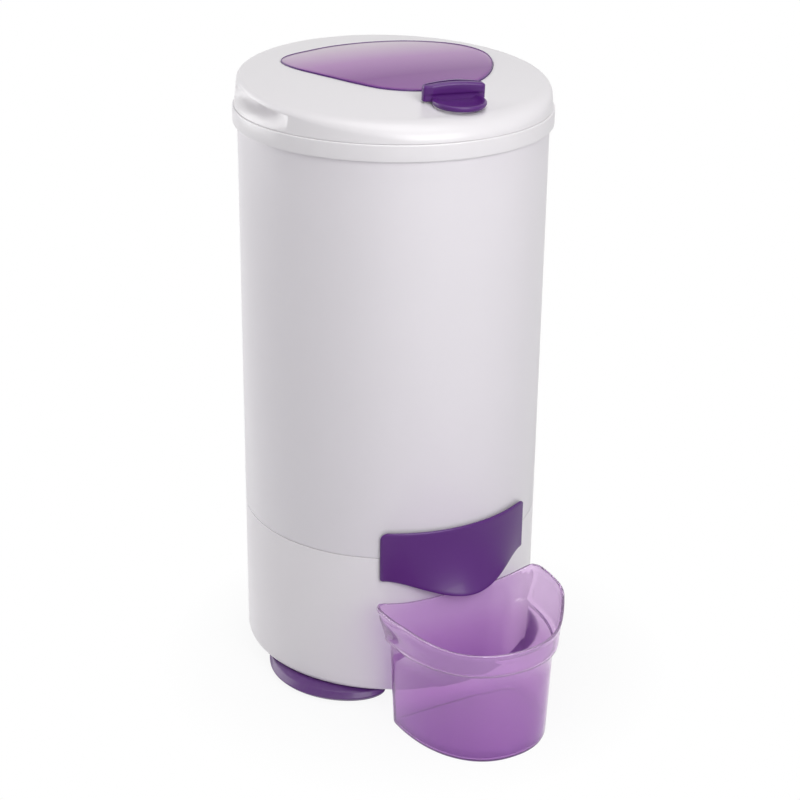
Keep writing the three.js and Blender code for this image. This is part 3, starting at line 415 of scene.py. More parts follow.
# a clear plastic whose colour changes along an axis; each use paints light and shade into that change
def clearFinish(name, axis, span, stops, roughness, clear, index, passed=None):
    stops = [(place, paint(*shown)) for place, *shown in stops]
    material, tree, shader = bareMaterial(name, stops[-1][1])
    place = addNode(tree, "SeparateXYZ", {0: objectSpot(tree)}).outputs[axis]
    along = addNode(tree, "MapRange", {"Value": place, "From Min": span[0], "From Max": span[1]}, clamp=True)
    ramp = addNode(tree, "ValToRGB", {0: along.outputs[0]})
    while len(ramp.color_ramp.elements) < len(stops):
        ramp.color_ramp.elements.new(0.5)
    for element, (position, shade) in zip(ramp.color_ramp.elements, stops):
        element.position = position
        element.color = shade
    skin = placed(tree, mouldedSkin, {"Color": ramp.outputs["Color"], "Tone": 0.03, "Roughness": roughness,
                                      "Grain Size": 3.0, "Grain Depth": 0.01})
    dressed(tree, shader, skin, skin["Height"], 0.15, 0.0002)
    wired(tree, shader, {"Transmission Weight": clear, "IOR": index})
    if passed:  # light that only falls through is tinted, not bent
        path = addNode(tree, "LightPath").outputs
        lit = calculated(tree, "MAXIMUM", path["Is Shadow Ray"], path["Is Diffuse Ray"])
        letsThrough = addNode(tree, "BsdfTransparent", {"Color": passed})
        mixedShader(tree, lit, shader, letsThrough, "Material Output")
    return material


whiteEnamel = mouldedFinish("whiteEnamel", paint(228, 224, 229), 0.38, grain=2.0, depth=0.35,
                            Coat_Weight=0.25, Coat_Roughness=0.15)
whiteGloss = mouldedFinish("whiteGloss", paint(230, 227, 230), 0.36, tone=0.008, grain=1.6, depth=0.02,
                           Coat_Weight=0.16, Coat_Roughness=0.12)
whiteBase = mouldedFinish("whiteBase", paint(228, 224, 228), 0.36, grain=2.0, depth=0.3, scuff=0.22,
                          Coat_Weight=0.25, Coat_Roughness=0.15)
violetGloss = mouldedFinish("violetGloss", paint(82, 28, 112), 0.34, tone=0.04, grain=3.0, depth=0.03,
                            Specular_IOR_Level=0.34, Coat_Weight=0.1, Coat_Roughness=0.06)
violetFoot = mouldedFinish("violetFoot", paint(82, 26, 112), 0.3, tone=0.05, grain=2.4, depth=0.05,
                           scuff=0.3, Specular_IOR_Level=0.3, Coat_Weight=0.16, Coat_Roughness=0.08)
# darker towards the bottom: painted shade of the jug's shadow on the floor, seen through its walls; paler
# towards the rim: painted light
violetJug = clearFinish("violetJug", "Z", (0, 0.15), [
    (0.03, 172, 118, 190), (0.12, 202, 154, 215), (0.6, 222, 184, 230), (0.78, 232, 204, 238),
    (1.0, 234, 208, 240)], 0.05, 0.84, 1.46, passed=paint(236, 222, 242))
# paler towards the back: a painted reflection of the bright surroundings on the pane's far side
violetPane = clearFinish("violetPane", "Y", (machine.y - 0.08, machine.y + 0.12), [
    (0.0, 156, 78, 176), (0.3, 138, 46, 156), (0.6, 186, 127, 196), (1.0, 236, 226, 232)],
    0.12, 0.25, 1.3)
naturalPlastic = mouldedFinish("naturalPlastic", paint(214, 212, 214), 0.45, tone=0.03)
blackRubber = mouldedFinish("blackRubber", paint(38, 37, 39), 0.75, tone=0.2, grain=0.5, depth=1.0)
darkPlastic = mouldedFinish("darkPlastic", paint(48, 48, 52), 0.5, tone=0.08, grain=0.7, depth=0.8)
castAlloy = mouldedFinish("castAlloy", paint(168, 170, 173), 0.48, tone=0.12, grain=0.45, depth=1.0,
                          Metallic=0.9)
coreIron = mouldedFinish("coreIron", paint(112, 74, 48), 0.5, tone=0.3, grain=0.6, depth=1.0,
                         Metallic=0.6)
stainless = metalFinish("stainless", paint(201, 203, 206), 0.26)
zincSteel = metalFinish("zincSteel", paint(176, 178, 180), 0.36, contrast=0.1, pitch=0.9)
slotFinish = {"casing_paint": whiteEnamel, "white_plastic": whiteGloss, "violet_plastic": violetGloss,
              "violet_clear": violetPane, "natural_plastic": naturalPlastic, "black_rubber": blackRubber,
              "stainless": stainless, "steel": zincSteel, "cast_alloy": castAlloy, "core_iron": coreIron,
              "dark_plastic": darkPlastic}
print("finishes made")


# metres, degrees and the lens in mm
cameraPlace = {"at": (-0.9345, -1.6247, 1.1297), "heading": 29.319, "down": 23.311, "roll": 0.72,
               "lens": 82.76}


def makeCamera():
    heading, down, roll = (math.radians(cameraPlace[key]) for key in ("heading", "down", "roll"))
    ahead = Vector((math.sin(heading) * math.cos(down), math.cos(heading) * math.cos(down), -math.sin(down)))
    level = Vector((math.cos(heading), -math.sin(heading), 0))
    above = level.cross(ahead)
    right = math.cos(roll) * level + math.sin(roll) * above
    up = math.cos(roll) * above - math.sin(roll) * level
    data = bpy.data.cameras.new("camera")
    data.lens = cameraPlace["lens"]
    data.sensor_width = 36
    data.clip_end = 60
    camera = linked("camera", data)
    turn = Matrix((right, up, -ahead)).transposed().to_4x4()
    camera.matrix_world = Matrix.Translation(cameraPlace["at"]) @ turn
    bpy.context.scene.camera = camera


makeCamera()


casing = {"radius": 167, "wall": 1, "low": 168.3, "top": 613.4, "edge": 0.5}
base = {"radius": 167, "wall": 3.5, "height": 167.4, "edge": 6, "vent": 34, "lip": 178, "fit": 0.3,
        "pillar": 12, "pillarAt": 118, "pillarTop": 111.4, "slots": 8, "slotNear": 46, "slotFar": 78,
        "slotHalf": 3, "cordHeight": 40, "cordHole": 6.8, "drainHole": 9.1, "drainFrom": (150, 155.5),
        "drainTo": (176, 142.5)}
collar = {"radius": 171.9, "low": 611.6, "top": 629, "edge": 1.6, "rim": 168.2, "ledge": 619.5,
          "mouth": 102, "skirt": 601.5, "wall": 3, "fit": 0.3}
footAngles = {"left": -60, "right": 60, "rear": 180}


def makeCasing():
    radius, inner = casing["radius"], casing["radius"] - casing["wall"]
    bm = turned([(inner, casing["low"]), (radius, casing["low"], casing["edge"]), (radius, casing["top"]),
                 (inner, casing["top"])], segments=2)
    finished(bm, "outerCasing", "casing", "casing_paint", ["outer_casing"])


def makeBase():
    radius, wall, height = base["radius"], base["wall"], base["height"]
    lip, pillarAt = radius - casing["wall"] - base["fit"], base["pillarAt"]
    shell = turned([(base["vent"], 0, 0.8), (radius, 0, base["edge"]), (radius, height, 0.6), (lip, height),
                    (lip, base["lip"], 0.6), (lip - wall, base["lip"]), (radius - wall, height - 20, 2),
                    (radius - wall, wall, 3), (base["vent"], wall, 0.8)], segments=6)
    pillars = [rod(polar(angle, pillarAt, wall - 1), polar(angle, pillarAt, base["pillarTop"]),
                   base["pillar"], 1) for angle in footAngles.values()]
    piece = finished(together(shell, *pillars), "baseHousing", "casing", "white_plastic",
                     ["base_housing"], finish=whiteBase)
    near, far, half = base["slotNear"], base["slotFar"], base["slotHalf"]
    holes = [rotated(block((near, -half, -2), (far, half, 6)), 360 / base["slots"] * i, "Z")
             for i in range(base["slots"])]
    holes.append(rod((0, 150, base["cordHeight"]), (0, 180, base["cordHeight"]), base["cordHole"]))
    holes.append(rod(polar(0, *base["drainFrom"]), polar(0, *base["drainTo"]), base["drainHole"]))
    carved(piece, [together(*holes)])


def makeCollar():
    radius, low, top, ledge, rim = (collar[key] for key in ("radius", "low", "top", "ledge", "rim"))
    mouth, skirt, wall = (collar[key] for key in ("mouth", "skirt", "wall"))
    groove = casing["radius"] + collar["fit"]
    bm = turned([(groove, low), (radius, low, 0.8), (radius, top, collar["edge"]), (rim, top, 0.6),
                 (rim, ledge, 1), (mouth, ledge, 5), (mouth, skirt, 0.8), (mouth + wall, skirt, 0.8),
                 (mouth + wall, ledge - wall, 2), (groove, ledge - wall)], steps=256, segments=5)
    return finished(bm, "topCollar", "casing", "white_plastic", ["top_collar"])


makeCasing()
makeBase()
topCollar = makeCollar()
print("casing, base and collar made")


lid = {"radius": 166.5, "foot": 620.5, "over": 170.2, "brim": 629.5, "wall": 3, "crownWall": 5.4,
       "draft": 0.12, "rise": 663, "tilt": 0.07, "sag": 4.5, "span": 150, "front": 30, "side": 6.5,
       "rear": 16}
grip = {"halfAngle": 22, "depth": 14, "low": 630.5, "full": 648, "top": 654, "wall": 2.6}
pane = {"thick": 2.6, "ledge": 5, "gap": 0.4, "edge": 1, "proud": 1.3}
paneOutline = [(-90, 88), (-96, 72), (-91, 44), (-71, 0), (-57, -27), (-40, -51), (-11, -69), (27, -75),
               (62, -64), (91, -43), (115, -14), (130, 15), (135, 43), (126, 69), (104, 89), (70, 104),
               (29, 111), (-14, 111), (-47, 105), (-75, 98)]


def crownHeight(x, y):
    return lid["rise"] + lid["tilt"] * y - lid["sag"] * (x * x + y * y) / lid["span"] ** 2


def edgeReach(angle):
    front, side = math.cos(math.radians(angle)), math.sin(math.radians(angle))
    return lid["side"] * side ** 2 + (lid["front"] if front > 0 else lid["rear"]) * front ** 2


def headingOf(point):
    return math.degrees(math.atan2(point.x, -point.y))


def curvePoint(p0, p1, p2, p3, t):  # on the smooth line from p1 to p2
    return 0.5 * (2 * p1 + (p2 - p0) * t + (2 * p0 - 5 * p1 + 4 * p2 - p3) * t * t
                  + (3 * p1 - p0 - 3 * p2 + p3) * t ** 3)


def throughPoints(controls, steps):  # a smooth closed line through the control points
    line = []
    for i in range(len(controls)):
        near = [Vector(controls[(i + k - 1) % len(controls)]) for k in range(4)]
        line += [curvePoint(*near, k / steps) for k in range(steps)]
    return line


paneLine = throughPoints(paneOutline, 24)
headings = list(range(-180, 180))  # closer together at the pane's corner and the finger pockets' ends
headings = sorted(headings + [angle + 0.5 for angle in headings if -150 < angle < -112
                              or abs(abs(abs(angle) - 90) - grip["halfAngle"]) < 3])


def paneEdge(offset):  # the pane's outline moved out by an offset, where each heading meets it
    outline = []
    for i, point in enumerate(paneLine):
        along = (paneLine[(i + 1) % len(paneLine)] - paneLine[i - 1]).normalized()
        outline.append(point + offset * Vector((along.y, -along.x)))
    turns = sorted((headingOf(point), point.length) for point in outline)
    turns = [(turns[-1][0] - 360, turns[-1][1])] + turns + [(turns[0][0] + 360, turns[0][1])]
    loop = []
    k = 0
    for angle in headings:
        while turns[k + 1][0] < angle:
            k += 1
        (a0, r0), (a1, r1) = turns[k], turns[k + 1]
        loop.append(polar(angle, mix(r0, r1, (angle - a0) / max(1e-6, a1 - a0)), 0).xy)
    return loop


def onCrown(point, depth):
    return Vector((point.x, point.y, crownHeight(point.x, point.y) - depth))


def pocketDepth(angle, height, margin=0):  # how far a finger pocket goes in from the lid's side
    away = abs(abs(angle) - 90) / (grip["halfAngle"] + margin / 2)
    if away >= 1:
        return 0
    swell = math.sqrt(1 - away * away)
    lip = 1 - smoothStep((height - grip["top"] - margin + 3.5 * (1 - swell)) / 1.2)
    bowl = smoothStep((height - grip["low"] + margin) / (grip["full"] - grip["low"]))
    return (grip["depth"] + margin) * swell ** 1.6 * lip * bowl


def sideForm(angle, crownInset):
    reach = edgeReach(angle)
    rim = polar(angle, lid["over"] - reach, 0)
    top = crownHeight(rim.x, rim.y) - crownInset
    return reach, top, max(lid["brim"] + 0.4 - crownInset * 0.6, top - 0.72 * reach)


def sideRadius(height, inset):
    return lid["over"] - inset - lid["draft"] * max(0, height - collar["top"])


def shoulderLoop(bend, inset, crownInset):
    loop = []
    for angle in headings:
        reach, top, sideTop = sideForm(angle, crownInset)
        turn = math.radians(bend)
        radius = sideRadius(sideTop, inset) - reach * (1 - math.cos(turn))
        loop.append(polar(angle, radius, mix(top, sideTop, 1 - math.sin(turn))))
    return loop


def sideLoop(share, inset, crownInset):
    loop = []
    for angle in headings:
        sideTop = sideForm(angle, crownInset)[2]
        height = mix(sideTop, lid["brim"], share)
        margin = grip["wall"] if inset else 0
        pocket = pocketDepth(angle, height, margin)
        loop.append(polar(angle, min(sideRadius(height, inset), sideRadius(height, 0) - pocket), height))
    return loop


def crownLoops(shares, start, inset, crownInset):
    rims = shoulderLoop(90, inset, crownInset)
    inner = paneEdge(start)
    return [[onCrown(a.lerp(b.xy, t), crownInset) for a, b in zip(inner, rims)] for t in shares]


def ringLoop(radius, height):
    return [polar(angle, radius, height) for angle in headings]


def lidShell():
    def paneLoop(offset, depth):
        return [onCrown(point, depth) for point in paneEdge(offset)]
    seat = pane["thick"] + 0.3
    crownWall, wall = lid["crownWall"], lid["wall"]
    fine = sorted([i / 10 for i in range(11)] + [0.02, 0.04, 0.06, 0.08, 0.12, 0.14, 0.16, 0.18, 0.22, 0.25])
    ledge = -pane["ledge"]
    loops = [paneLoop(*corner) for corner in (
        (ledge, crownWall), (ledge, seat + 0.4), (ledge + 0.4, seat), (-0.2, seat), (0, seat - 0.2),
        (0, 0.7), (0.2, 0.2), (0.7, 0))]
    loops += crownLoops([0.05, 0.14, 0.26, 0.4, 0.54, 0.68, 0.8, 0.9, 0.96], 0.7, 0, 0)
    loops += [shoulderLoop(bend, 0, 0) for bend in range(90, -1, -6)]
    loops += [sideLoop(share, 0, 0) for share in fine[1:]]
    radius, foot, brim = lid["radius"], lid["foot"], lid["brim"]
    inner = radius - wall
    loops += [ringLoop(*corner) for corner in (
        (lid["over"] - 0.7, brim - 0.4), (radius + 0.5, brim - 0.4), (radius, brim - 0.9),
        (radius, foot + 0.6), (radius - 0.6, foot), (inner + 0.6, foot), (inner, foot + 0.6),
        (inner, brim - 3))]
    inset = wall + lid["over"] - radius
    loops += [sideLoop(share, inset, crownWall) for share in reversed(fine)]
    loops += [shoulderLoop(bend, inset, crownWall) for bend in range(10, 91, 16)]
    loops += crownLoops([0.8, 0.6, 0.4, 0.2], ledge, inset, crownWall)
    loops.append(loops[0])
    return finished(skinned(loops), "lidShell", "lid", "white_plastic", ["lid_shell"], sharp=40)


def lidPane():
    gap, thick, edge, proud = pane["gap"], pane["thick"], pane["edge"], pane["proud"]
    middle = Vector((20, 20))

    def loop(offset, depth, share=0):
        return [onCrown(point.lerp(middle, share), depth) for point in paneEdge(offset)]
    inward = [1, 0.93, 0.8, 0.65, 0.5, 0.36, 0.24, 0.13, 0.05]
    inner = -gap - edge
    loops = [loop(inner - 0.5, 0.4 - proud, share) for share in inward]
    loops += [loop(*corner) for corner in ((inner - 0.5, 0.4 - proud), (inner - 0.1, 0.6 - proud),
                                           (inner, 1 - proud), (inner, thick - 0.3), (inner - 0.3, thick))]
    loops += [loop(inner - 0.3, thick, share) for share in reversed(inward)]
    finished(skinned(loops), "lidWindow", "lid", "violet_clear", ["lid_window"], sharp=40)
    # a dark violet rim round the pane: painted shade, standing in for the shadowed gap and the pane's
    # refracting edge
    bead = [(inner + 0.02, 0.5 - proud), (inner + 0.12, 0.12 - proud), (inner + 0.3, -proud),
            (-gap - 0.4, 0.04 - proud), (-gap - 0.1, 0.35 - proud), (-gap, 0.8 - proud),
            (-gap, thick - 0.2), (inner + 0.02, thick - 0.2)]
    loops = [loop(*corner) for corner in bead + bead[:1]]
    finished(skinned(loops), "lidWindowShadeRim", "lid", "violet_plastic", sharp=50)


lidPiece = lidShell()
lidPane()
print("lid made")


lever = {"x": 6, "y": -118, "tilt": 3.8166, "disc": 28, "rim": 7, "dish": 2.8, "lift": 1.5,
         "barLift": 2.5, "turn": 60, "left": -32, "right": 34.5, "front": 5, "back": 20, "height": 17,
         "arch": 3.4, "archHalf": 36, "edge": 3, "groove": 1.5, "grooveTop": 10.6, "heading": -10,
         "rest": (2, -4, 0), "seat": 23.4}
latch = {"depth": 30.4, "seat": 657.288, "half": 2.75, "end": 6.1, "spindle": 5.6, "bore": 6, "boreLow": -60,
         "boreHigh": 2, "clear": 3.1, "plungerBore": 2.9}
leverTilt = math.radians(lever["tilt"])
leverSeat = Vector((lever["x"], lever["y"], crownHeight(lever["x"], lever["y"])))
leverFrame = Matrix.Translation(leverSeat * mm) @ Matrix.Rotation(leverTilt, 4, "X")
latchDepth = latch["depth"] + (leverSeat.z - latch["seat"]) / math.cos(leverTilt)  # below the lever's seat


def inLeverFrame(bm):
    return moved(bm, leverFrame)


def leverDisc():
    disc, rim, lift = lever["disc"], lever["rim"], lever["lift"]
    floor = rim - lever["dish"]
    return turned([(0, lift), (disc - 1.5, lift, 0.5), (disc, lift + 2, 0.8), (disc, rim, 1.8),
                   (disc - 3.6, rim, 1.4), (disc - 8, floor, 3), (0, floor - 0.8)], steps=128, segments=5)


def leverBar():
    front, back = lever["front"], lever["back"]
    outline = evenly(rounded([
        (lever["left"], front + 3, 4), (lever["left"] + 9, front, 5), (lever["right"], front, 4),
        (lever["right"], back - 4, 4.5), (6, back, 20), (lever["left"], back - 3, 6)], 6), 160)
    middle = Vector(((lever["left"] + lever["right"]) / 2, (front + back) / 2))
    low, top, edge = lever["barLift"], lever["height"] + lever["lift"], lever["edge"]

    def grooveAt(height):  # the bar is drawn in a little along its underside
        depth = lever["groove"] * smoothStep((lever["grooveTop"] - height) / 1.6)
        return depth * smoothStep((height - 1) / 2)

    def loop(inset, height, shrink=0):
        points = []
        for i, point in enumerate(outline):
            along = (outline[(i + 1) % len(outline)] - outline[i - 1]).normalized()
            inward = Vector((-along.y, along.x))
            if inward.dot(middle - point) < 0:
                inward = -inward
            groove = smoothStep((inward.y - 0.6) / 0.3) * grooveAt(height)
            place = (point + inward * (inset + groove)).lerp(Vector((point.x * 0.9 - 1, middle.y)), shrink)
            arch = lever["arch"] * (1 - ((point.x - middle.x) / lever["archHalf"]) ** 2)
            points.append(Vector((place.x, place.y, height + arch * smoothStep((height - 8) / 8))))
        return points
    heights = (low + 0.6, 4, 5, 7, 8.8, 9.4, 10, lever["grooveTop"], 11.4, 13, top - edge)
    loops = [loop(0.6, low)] + [loop(0, height) for height in heights]
    for k in range(1, 6):
        bend = math.radians(18 * k)
        loops.append(loop(edge * (1 - math.cos(bend)), top - edge + edge * math.sin(bend)))
    loops.append(loop(edge, top, 0.6))
    bar = skinned(loops)
    bmesh.ops.triangle_fill(bar, use_beauty=True, use_dissolve=False,
                            edges=[e for e in bar.edges if e.is_boundary])
    return bar


def makeLever():
    bar, disc = rotated(leverBar(), lever["heading"], "Z"), shifted(leverDisc(), lever["rest"])
    finished(inLeverFrame(together(bar, disc)), "lockLever", "lock", "violet_plastic", ["lock_lever"],
             sharp=38)
    spindle = rod((0, 0, -latchDepth - latch["end"]), (0, 0, lever["lift"] - 0.2), latch["spindle"], 0.6)
    finished(inLeverFrame(spindle), "latchSpindle", "lock", "steel", ["latch_spindle"])


def makeLeverSeat():  # a low boss on the lid that the disc turns over
    top, bore = lever["lift"] - 0.3, latch["bore"]
    bm = turned([(bore, -4), (lever["seat"], -4), (lever["seat"], top, 0.5), (bore, top)], steps=96)
    finished(inLeverFrame(bm), "leverSeat", "lid", "white_plastic")


def latchBore(radius):
    return inLeverFrame(rod((0, 0, latch["boreLow"]), (0, 0, latch["boreHigh"]), radius))


def latchSweep():  # the fan-shaped space that the latch turns through
    depth = Vector((0, 0, -latchDepth * mm))
    reach = collar["rim"] + latch["clear"] + (leverFrame @ depth).y / mm
    spread = math.degrees(math.asin(latch["bore"] / reach)) + 3
    low, steps = -latchDepth - latch["half"], 14
    corners = [Vector((0, 0, low))]
    for i in range(steps + 1):
        turn = math.radians(mix(-90 - lever["turn"] - spread, -90 + spread, i / steps))
        corners.append(Vector((reach * math.cos(turn), reach * math.sin(turn), low)))
    bm = bmesh.new()
    face = bm.faces.new([bm.verts.new(corner * mm) for corner in corners])
    tops = ofKind(bmesh.ops.extrude_face_region(bm, geom=[face]), bmesh.types.BMVert)
    bmesh.ops.translate(bm, vec=(0, 0, 2 * latch["half"] * mm), verts=tops)
    return inLeverFrame(bm)


def makeLatchCuts():
    plungerLow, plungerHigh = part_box("interlock_plunger")
    spot = ((plungerLow + plungerHigh) / 2 - machine) / mm
    plungerBore = rod((spot.x, spot.y, 560), (spot.x, spot.y, 660), latch["plungerBore"])
    carved(lidPiece, [latchBore(latch["bore"]), latchSweep()], sharp=40, solver="FAST")
    carved(topCollar, [latchSweep(), plungerBore])


makeLever()
makeLeverSeat()
makeLatchCuts()
print("lock made")


cover = {"halfAngle": 32.3, "top": 200, "side": 141, "lip": 124.5, "proud": 4.6, "belly": 25, "wall": 2.6,
         "corner": 9, "lowCorner": 4, "edge": 4, "fit": 0.3, "ends": 0.94, "fullness": 2.1}


def coverForm(share, down):  # heading, height, outside and inside radius at a place on the apron
    angle = share * cover["halfAngle"]
    perDegree = math.radians(1) * casing["radius"]
    fromSide = (cover["halfAngle"] - abs(angle)) * perDegree
    topCut, lowCut = (corner - math.sqrt(max(0, corner ** 2 - max(0, corner - fromSide) ** 2))
                      for corner in (cover["corner"], cover["lowCorner"]))
    swell = smoothStep(1 - abs(share) / cover["ends"])
    top = cover["top"] - topCut
    low = cover["side"] - (cover["side"] - cover["lip"]) * swell + lowCut
    height = mix(top, low, down)
    belly = swell * down ** cover["fullness"]
    outside = casing["radius"] + cover["proud"] + (cover["belly"] - cover["proud"]) * belly
    inside = max(casing["radius"] + cover["fit"], outside - cover["wall"])
    toEdge = min(fromSide, top - height + topCut * 0.3, height - low + lowCut * 0.3)
    bulge = math.sqrt(max(0, 1 - (1 - min(1, toEdge / cover["edge"])) ** 2))
    free = smoothStep((inside - casing["radius"] - cover["fit"]) / 3)
    meeting = mix(inside, outside, 0.5 * free)
    return angle, height, mix(meeting, outside, bulge), mix(meeting, inside, bulge)


def makeCover():
    rows = eased(46, 0.7)
    loops = []
    for across in eased(150, 0.75):
        front = [coverForm(2 * across - 1, down) for down in rows]
        loop = [polar(angle, outer, height) for angle, height, outer, inner in front]
        loop += [polar(angle, inner, height) for angle, height, outer, inner in reversed(front[1:-1])]
        loops.append(loop)
    finished(skinned(loops), "spoutCover", "casing", "violet_plastic", ["spout_cover"], sharp=50)


makeCover()


nozzle = {"outer": 8.8, "inner": 7, "steps": 40, "sides": 40,
          "path": [(131, 199), (131, 184), (142, 165), (161, 151), (168, 146)]}


def makeNozzle():
    path = [polar(0, *place) for place in nozzle["path"]]
    last, steps, sides = len(path) - 1, nozzle["steps"], nozzle["sides"]
    line = []
    for i in range(steps + 1):
        t = i / steps * last
        k = min(int(t), last - 1)
        line.append(curvePoint(path[max(0, k - 1)], path[k], path[k + 1], path[min(last, k + 2)], t - k))
    loops = []
    side = Vector((1, 0, 0))
    bends = [2 * math.pi * j / sides for j in range(sides)]
    for radius, order in ((nozzle["outer"], range(steps + 1)), (nozzle["inner"], range(steps, -1, -1))):
        for k in order:
            over = (line[min(k + 1, steps)] - line[max(k - 1, 0)]).normalized().cross(side)
            loops.append([line[k] + radius * (side * math.cos(b) + over * math.sin(b)) for b in bends])
    loops.append(loops[0])
    finished(skinned(loops), "drainNozzle", "casing", "natural_plastic", ["drain_nozzle"])


makeNozzle()
print("spout made")


foot = {"halfAngle": 30, "inner": 128, "middle": 88, "reach": 91.8, "height": 13, "top": -0.3}
pad = {"halfAngle": 23, "height": 2.7, "middle": 149, "half": 12.5}


def footEdge(turn):  # the plan is a crescent: an arc of its own about a point between axis and foot
    middle, bend = foot["middle"], math.radians(turn)
    return middle * math.cos(bend) + math.sqrt(foot["reach"] ** 2 - (middle * math.sin(bend)) ** 2)


def arcLoops(outline, centre, steps, crowd, onArc):  # an outline carried round an arc, closed at its ends
    loops = []
    for t in eased(steps, crowd):
        share = 2 * t - 1
        swell = math.sqrt(max(0, 1 - share ** 6))
        points = outline if 0 < t < 1 else [centre] * len(outline)
        loops.append([onArc(point, share, swell) for point in points])
    return loops


footSection = [(0, 0, 0.05), (0, -0.5, 0.12), (0.16, -1, 0.1), (0.82, -1, 0.02), (0.84, -1.18, 0.02),
               (0.93, -1.18, 0.09), (1.03, -0.78, 0.3), (0.92, -0.3, 0.3), (0.74, 0, 0.05)]
padSection = [(-1, 0, 0.12), (1, 0, 0.12), (1, 1, 0.1), (-1, 1, 0.1)]


def makeFoot(side, angle):
    def onFoot(p, share, swell):
        turn = share * foot["halfAngle"]
        outer = footEdge(turn)
        width, depth = (outer - foot["inner"]) * mix(0.5, 1, swell), foot["height"] * mix(0.3, 1, swell)
        return polar(angle + turn, outer + (p.x - 1) * width, foot["top"] + p.y * (depth + foot["top"]))

    def onPad(p, share, swell):
        return polar(angle + share * pad["halfAngle"], pad["middle"] + p.x * pad["half"] * mix(0.3, 1, swell),
                     floorLevel + p.y * pad["height"])
    loops = arcLoops(evenly(rounded(footSection, 6), 72), Vector((0.5, -0.5)), 64, 0.9, onFoot)
    finished(skinned(loops), f"{side}Foot", "casing", "violet_plastic", [f"{side}_foot"], sharp=50,
             finish=violetFoot)
    loops = arcLoops(evenly(rounded(padSection, 4), 40), Vector((0, 0.5)), 36, 0.8, onPad)
    finished(skinned(loops), f"{side}FootPad", "casing", "black_rubber", [f"{side}_foot_pad"], sharp=50)


for side, angle in footAngles.items():
    makeFoot(side, angle)
print("feet made")


jug = {"centre": -13, "rear": -175, "wall": 2.2, "lift": 0.4, "bottomHalf": 82, "bottomDepth": 129,
       "step": 108, "stepHalf": 87.5, "stepDepth": 130.5, "collar": 5.5, "rimFront": 137.5, "rimRear": 140.5,
       "rimEar": 151.5, "bead": 1.6, "ear": 9.5, "rearFull": 34, "earFull": 54, "earEnd": 134, "corner": 14,
       "fullness": 2.24, "stepRise": 4, "flareEnd": 7}


def jugPlan(half, depth, rear):  # a full round front, and a flat rear with round corners
    corner, power = jug["corner"], 2 / jug["fullness"]
    points = []
    for i in range(121):
        bend = math.pi * i / 120
        c, s = math.cos(bend), math.sin(bend)
        points.append(Vector((half * math.copysign(abs(c) ** power, c),
                              rear - corner - (depth - corner) * s ** power)))
    for start, x in ((180, corner - half), (90, half - corner)):
        for k in range(13):
            turn = math.radians(start - 7.5 * k)
            points.append(Vector((x + corner * math.cos(turn), rear - corner + corner * math.sin(turn))))
        if start == 180:
            points += [Vector((mix(x, -x, k / 16), rear)) for k in range(1, 16)]
    return points[:-1]


def jugEar(x, y):
    side = min(1, abs(x) / jug["stepHalf"])
    return side ** 4 * (1 - smoothStep((jug["rear"] - y - jug["earFull"]) / (jug["earEnd"] - jug["earFull"])))


def jugRim(x, y):
    plain = mix(jug["rimRear"], jug["rimFront"], smoothStep((jug["rear"] - y) / jug["rearFull"]))
    return floorLevel + mix(plain, jug["rimEar"], jugEar(x, y))


def jugLoop(half, depth, rear, heightAt, flare=0):
    loop = []
    for point in jugPlan(half, depth, rear):
        out = math.copysign(jug["ear"] * flare * jugEar(*point), point.x)
        loop.append(Vector((jug["centre"] + point.x + out, point.y, heightAt(*point))))
    return loop


def level(height):
    return lambda x, y: height


def belowRim(drop, share=1, low=0):  # heights on the way from a level to the rim
    return lambda x, y: mix(low, jugRim(x, y) - drop, share)


# one face of the jug's wall, from the bottom up
def jugSide(first, inset, bottom, bend, raised, lean, flare):
    rear, step, rise = jug["rear"] - inset, floorLevel + jug["step"], jug["stepRise"]
    loops = []

    def add(half, depth, heightAt, back=0, flare=0):
        loops.append(jugLoop(half - inset, depth - 2 * inset, rear - back, heightAt, flare))

    for k in range(5):
        turn = math.radians(18 * (k + first))
        tuck = bend * (1 - math.sin(turn))
        add(jug["bottomHalf"] - tuck, jug["bottomDepth"] - 1.3 * tuck,
            level(bottom + bend * (1 - math.cos(turn))), 0.4 * tuck)
    for k in range(5):
        t = (k + first) / 5
        add(mix(jug["bottomHalf"], jug["stepHalf"], t), mix(jug["bottomDepth"], jug["stepDepth"], t),
            level(mix(bottom + bend, step - 1, t)))
    for k in range(6):  # the step out to the collar
        t = (k + first) / 6
        out = jug["collar"] * smoothStep(t)
        add(jug["stepHalf"] + out, jug["stepDepth"] + out, level(step + raised + rise * t), flare=0.1 * t)
    for k in range(8):
        t = (k + first) / 8
        out = jug["collar"] + lean * t
        add(jug["stepHalf"] + out, jug["stepDepth"] + out, belowRim(jug["flareEnd"], t, step + rise + raised),
            flare=mix(0.1, flare, smoothStep(t)))
    return loops


def jugPlate(height):  # the flat of the jug's bottom, from the middle out
    rear, half, depth = jug["rear"], jug["bottomHalf"], jug["bottomDepth"]
    loops = [jugLoop(half * s, depth * s, rear - (1 - s) * 60, level(height)) for s in (0.3, 0.6, 0.85)]
    return [[Vector((jug["centre"], rear - depth / 2, height))] * len(loops[0])] + loops


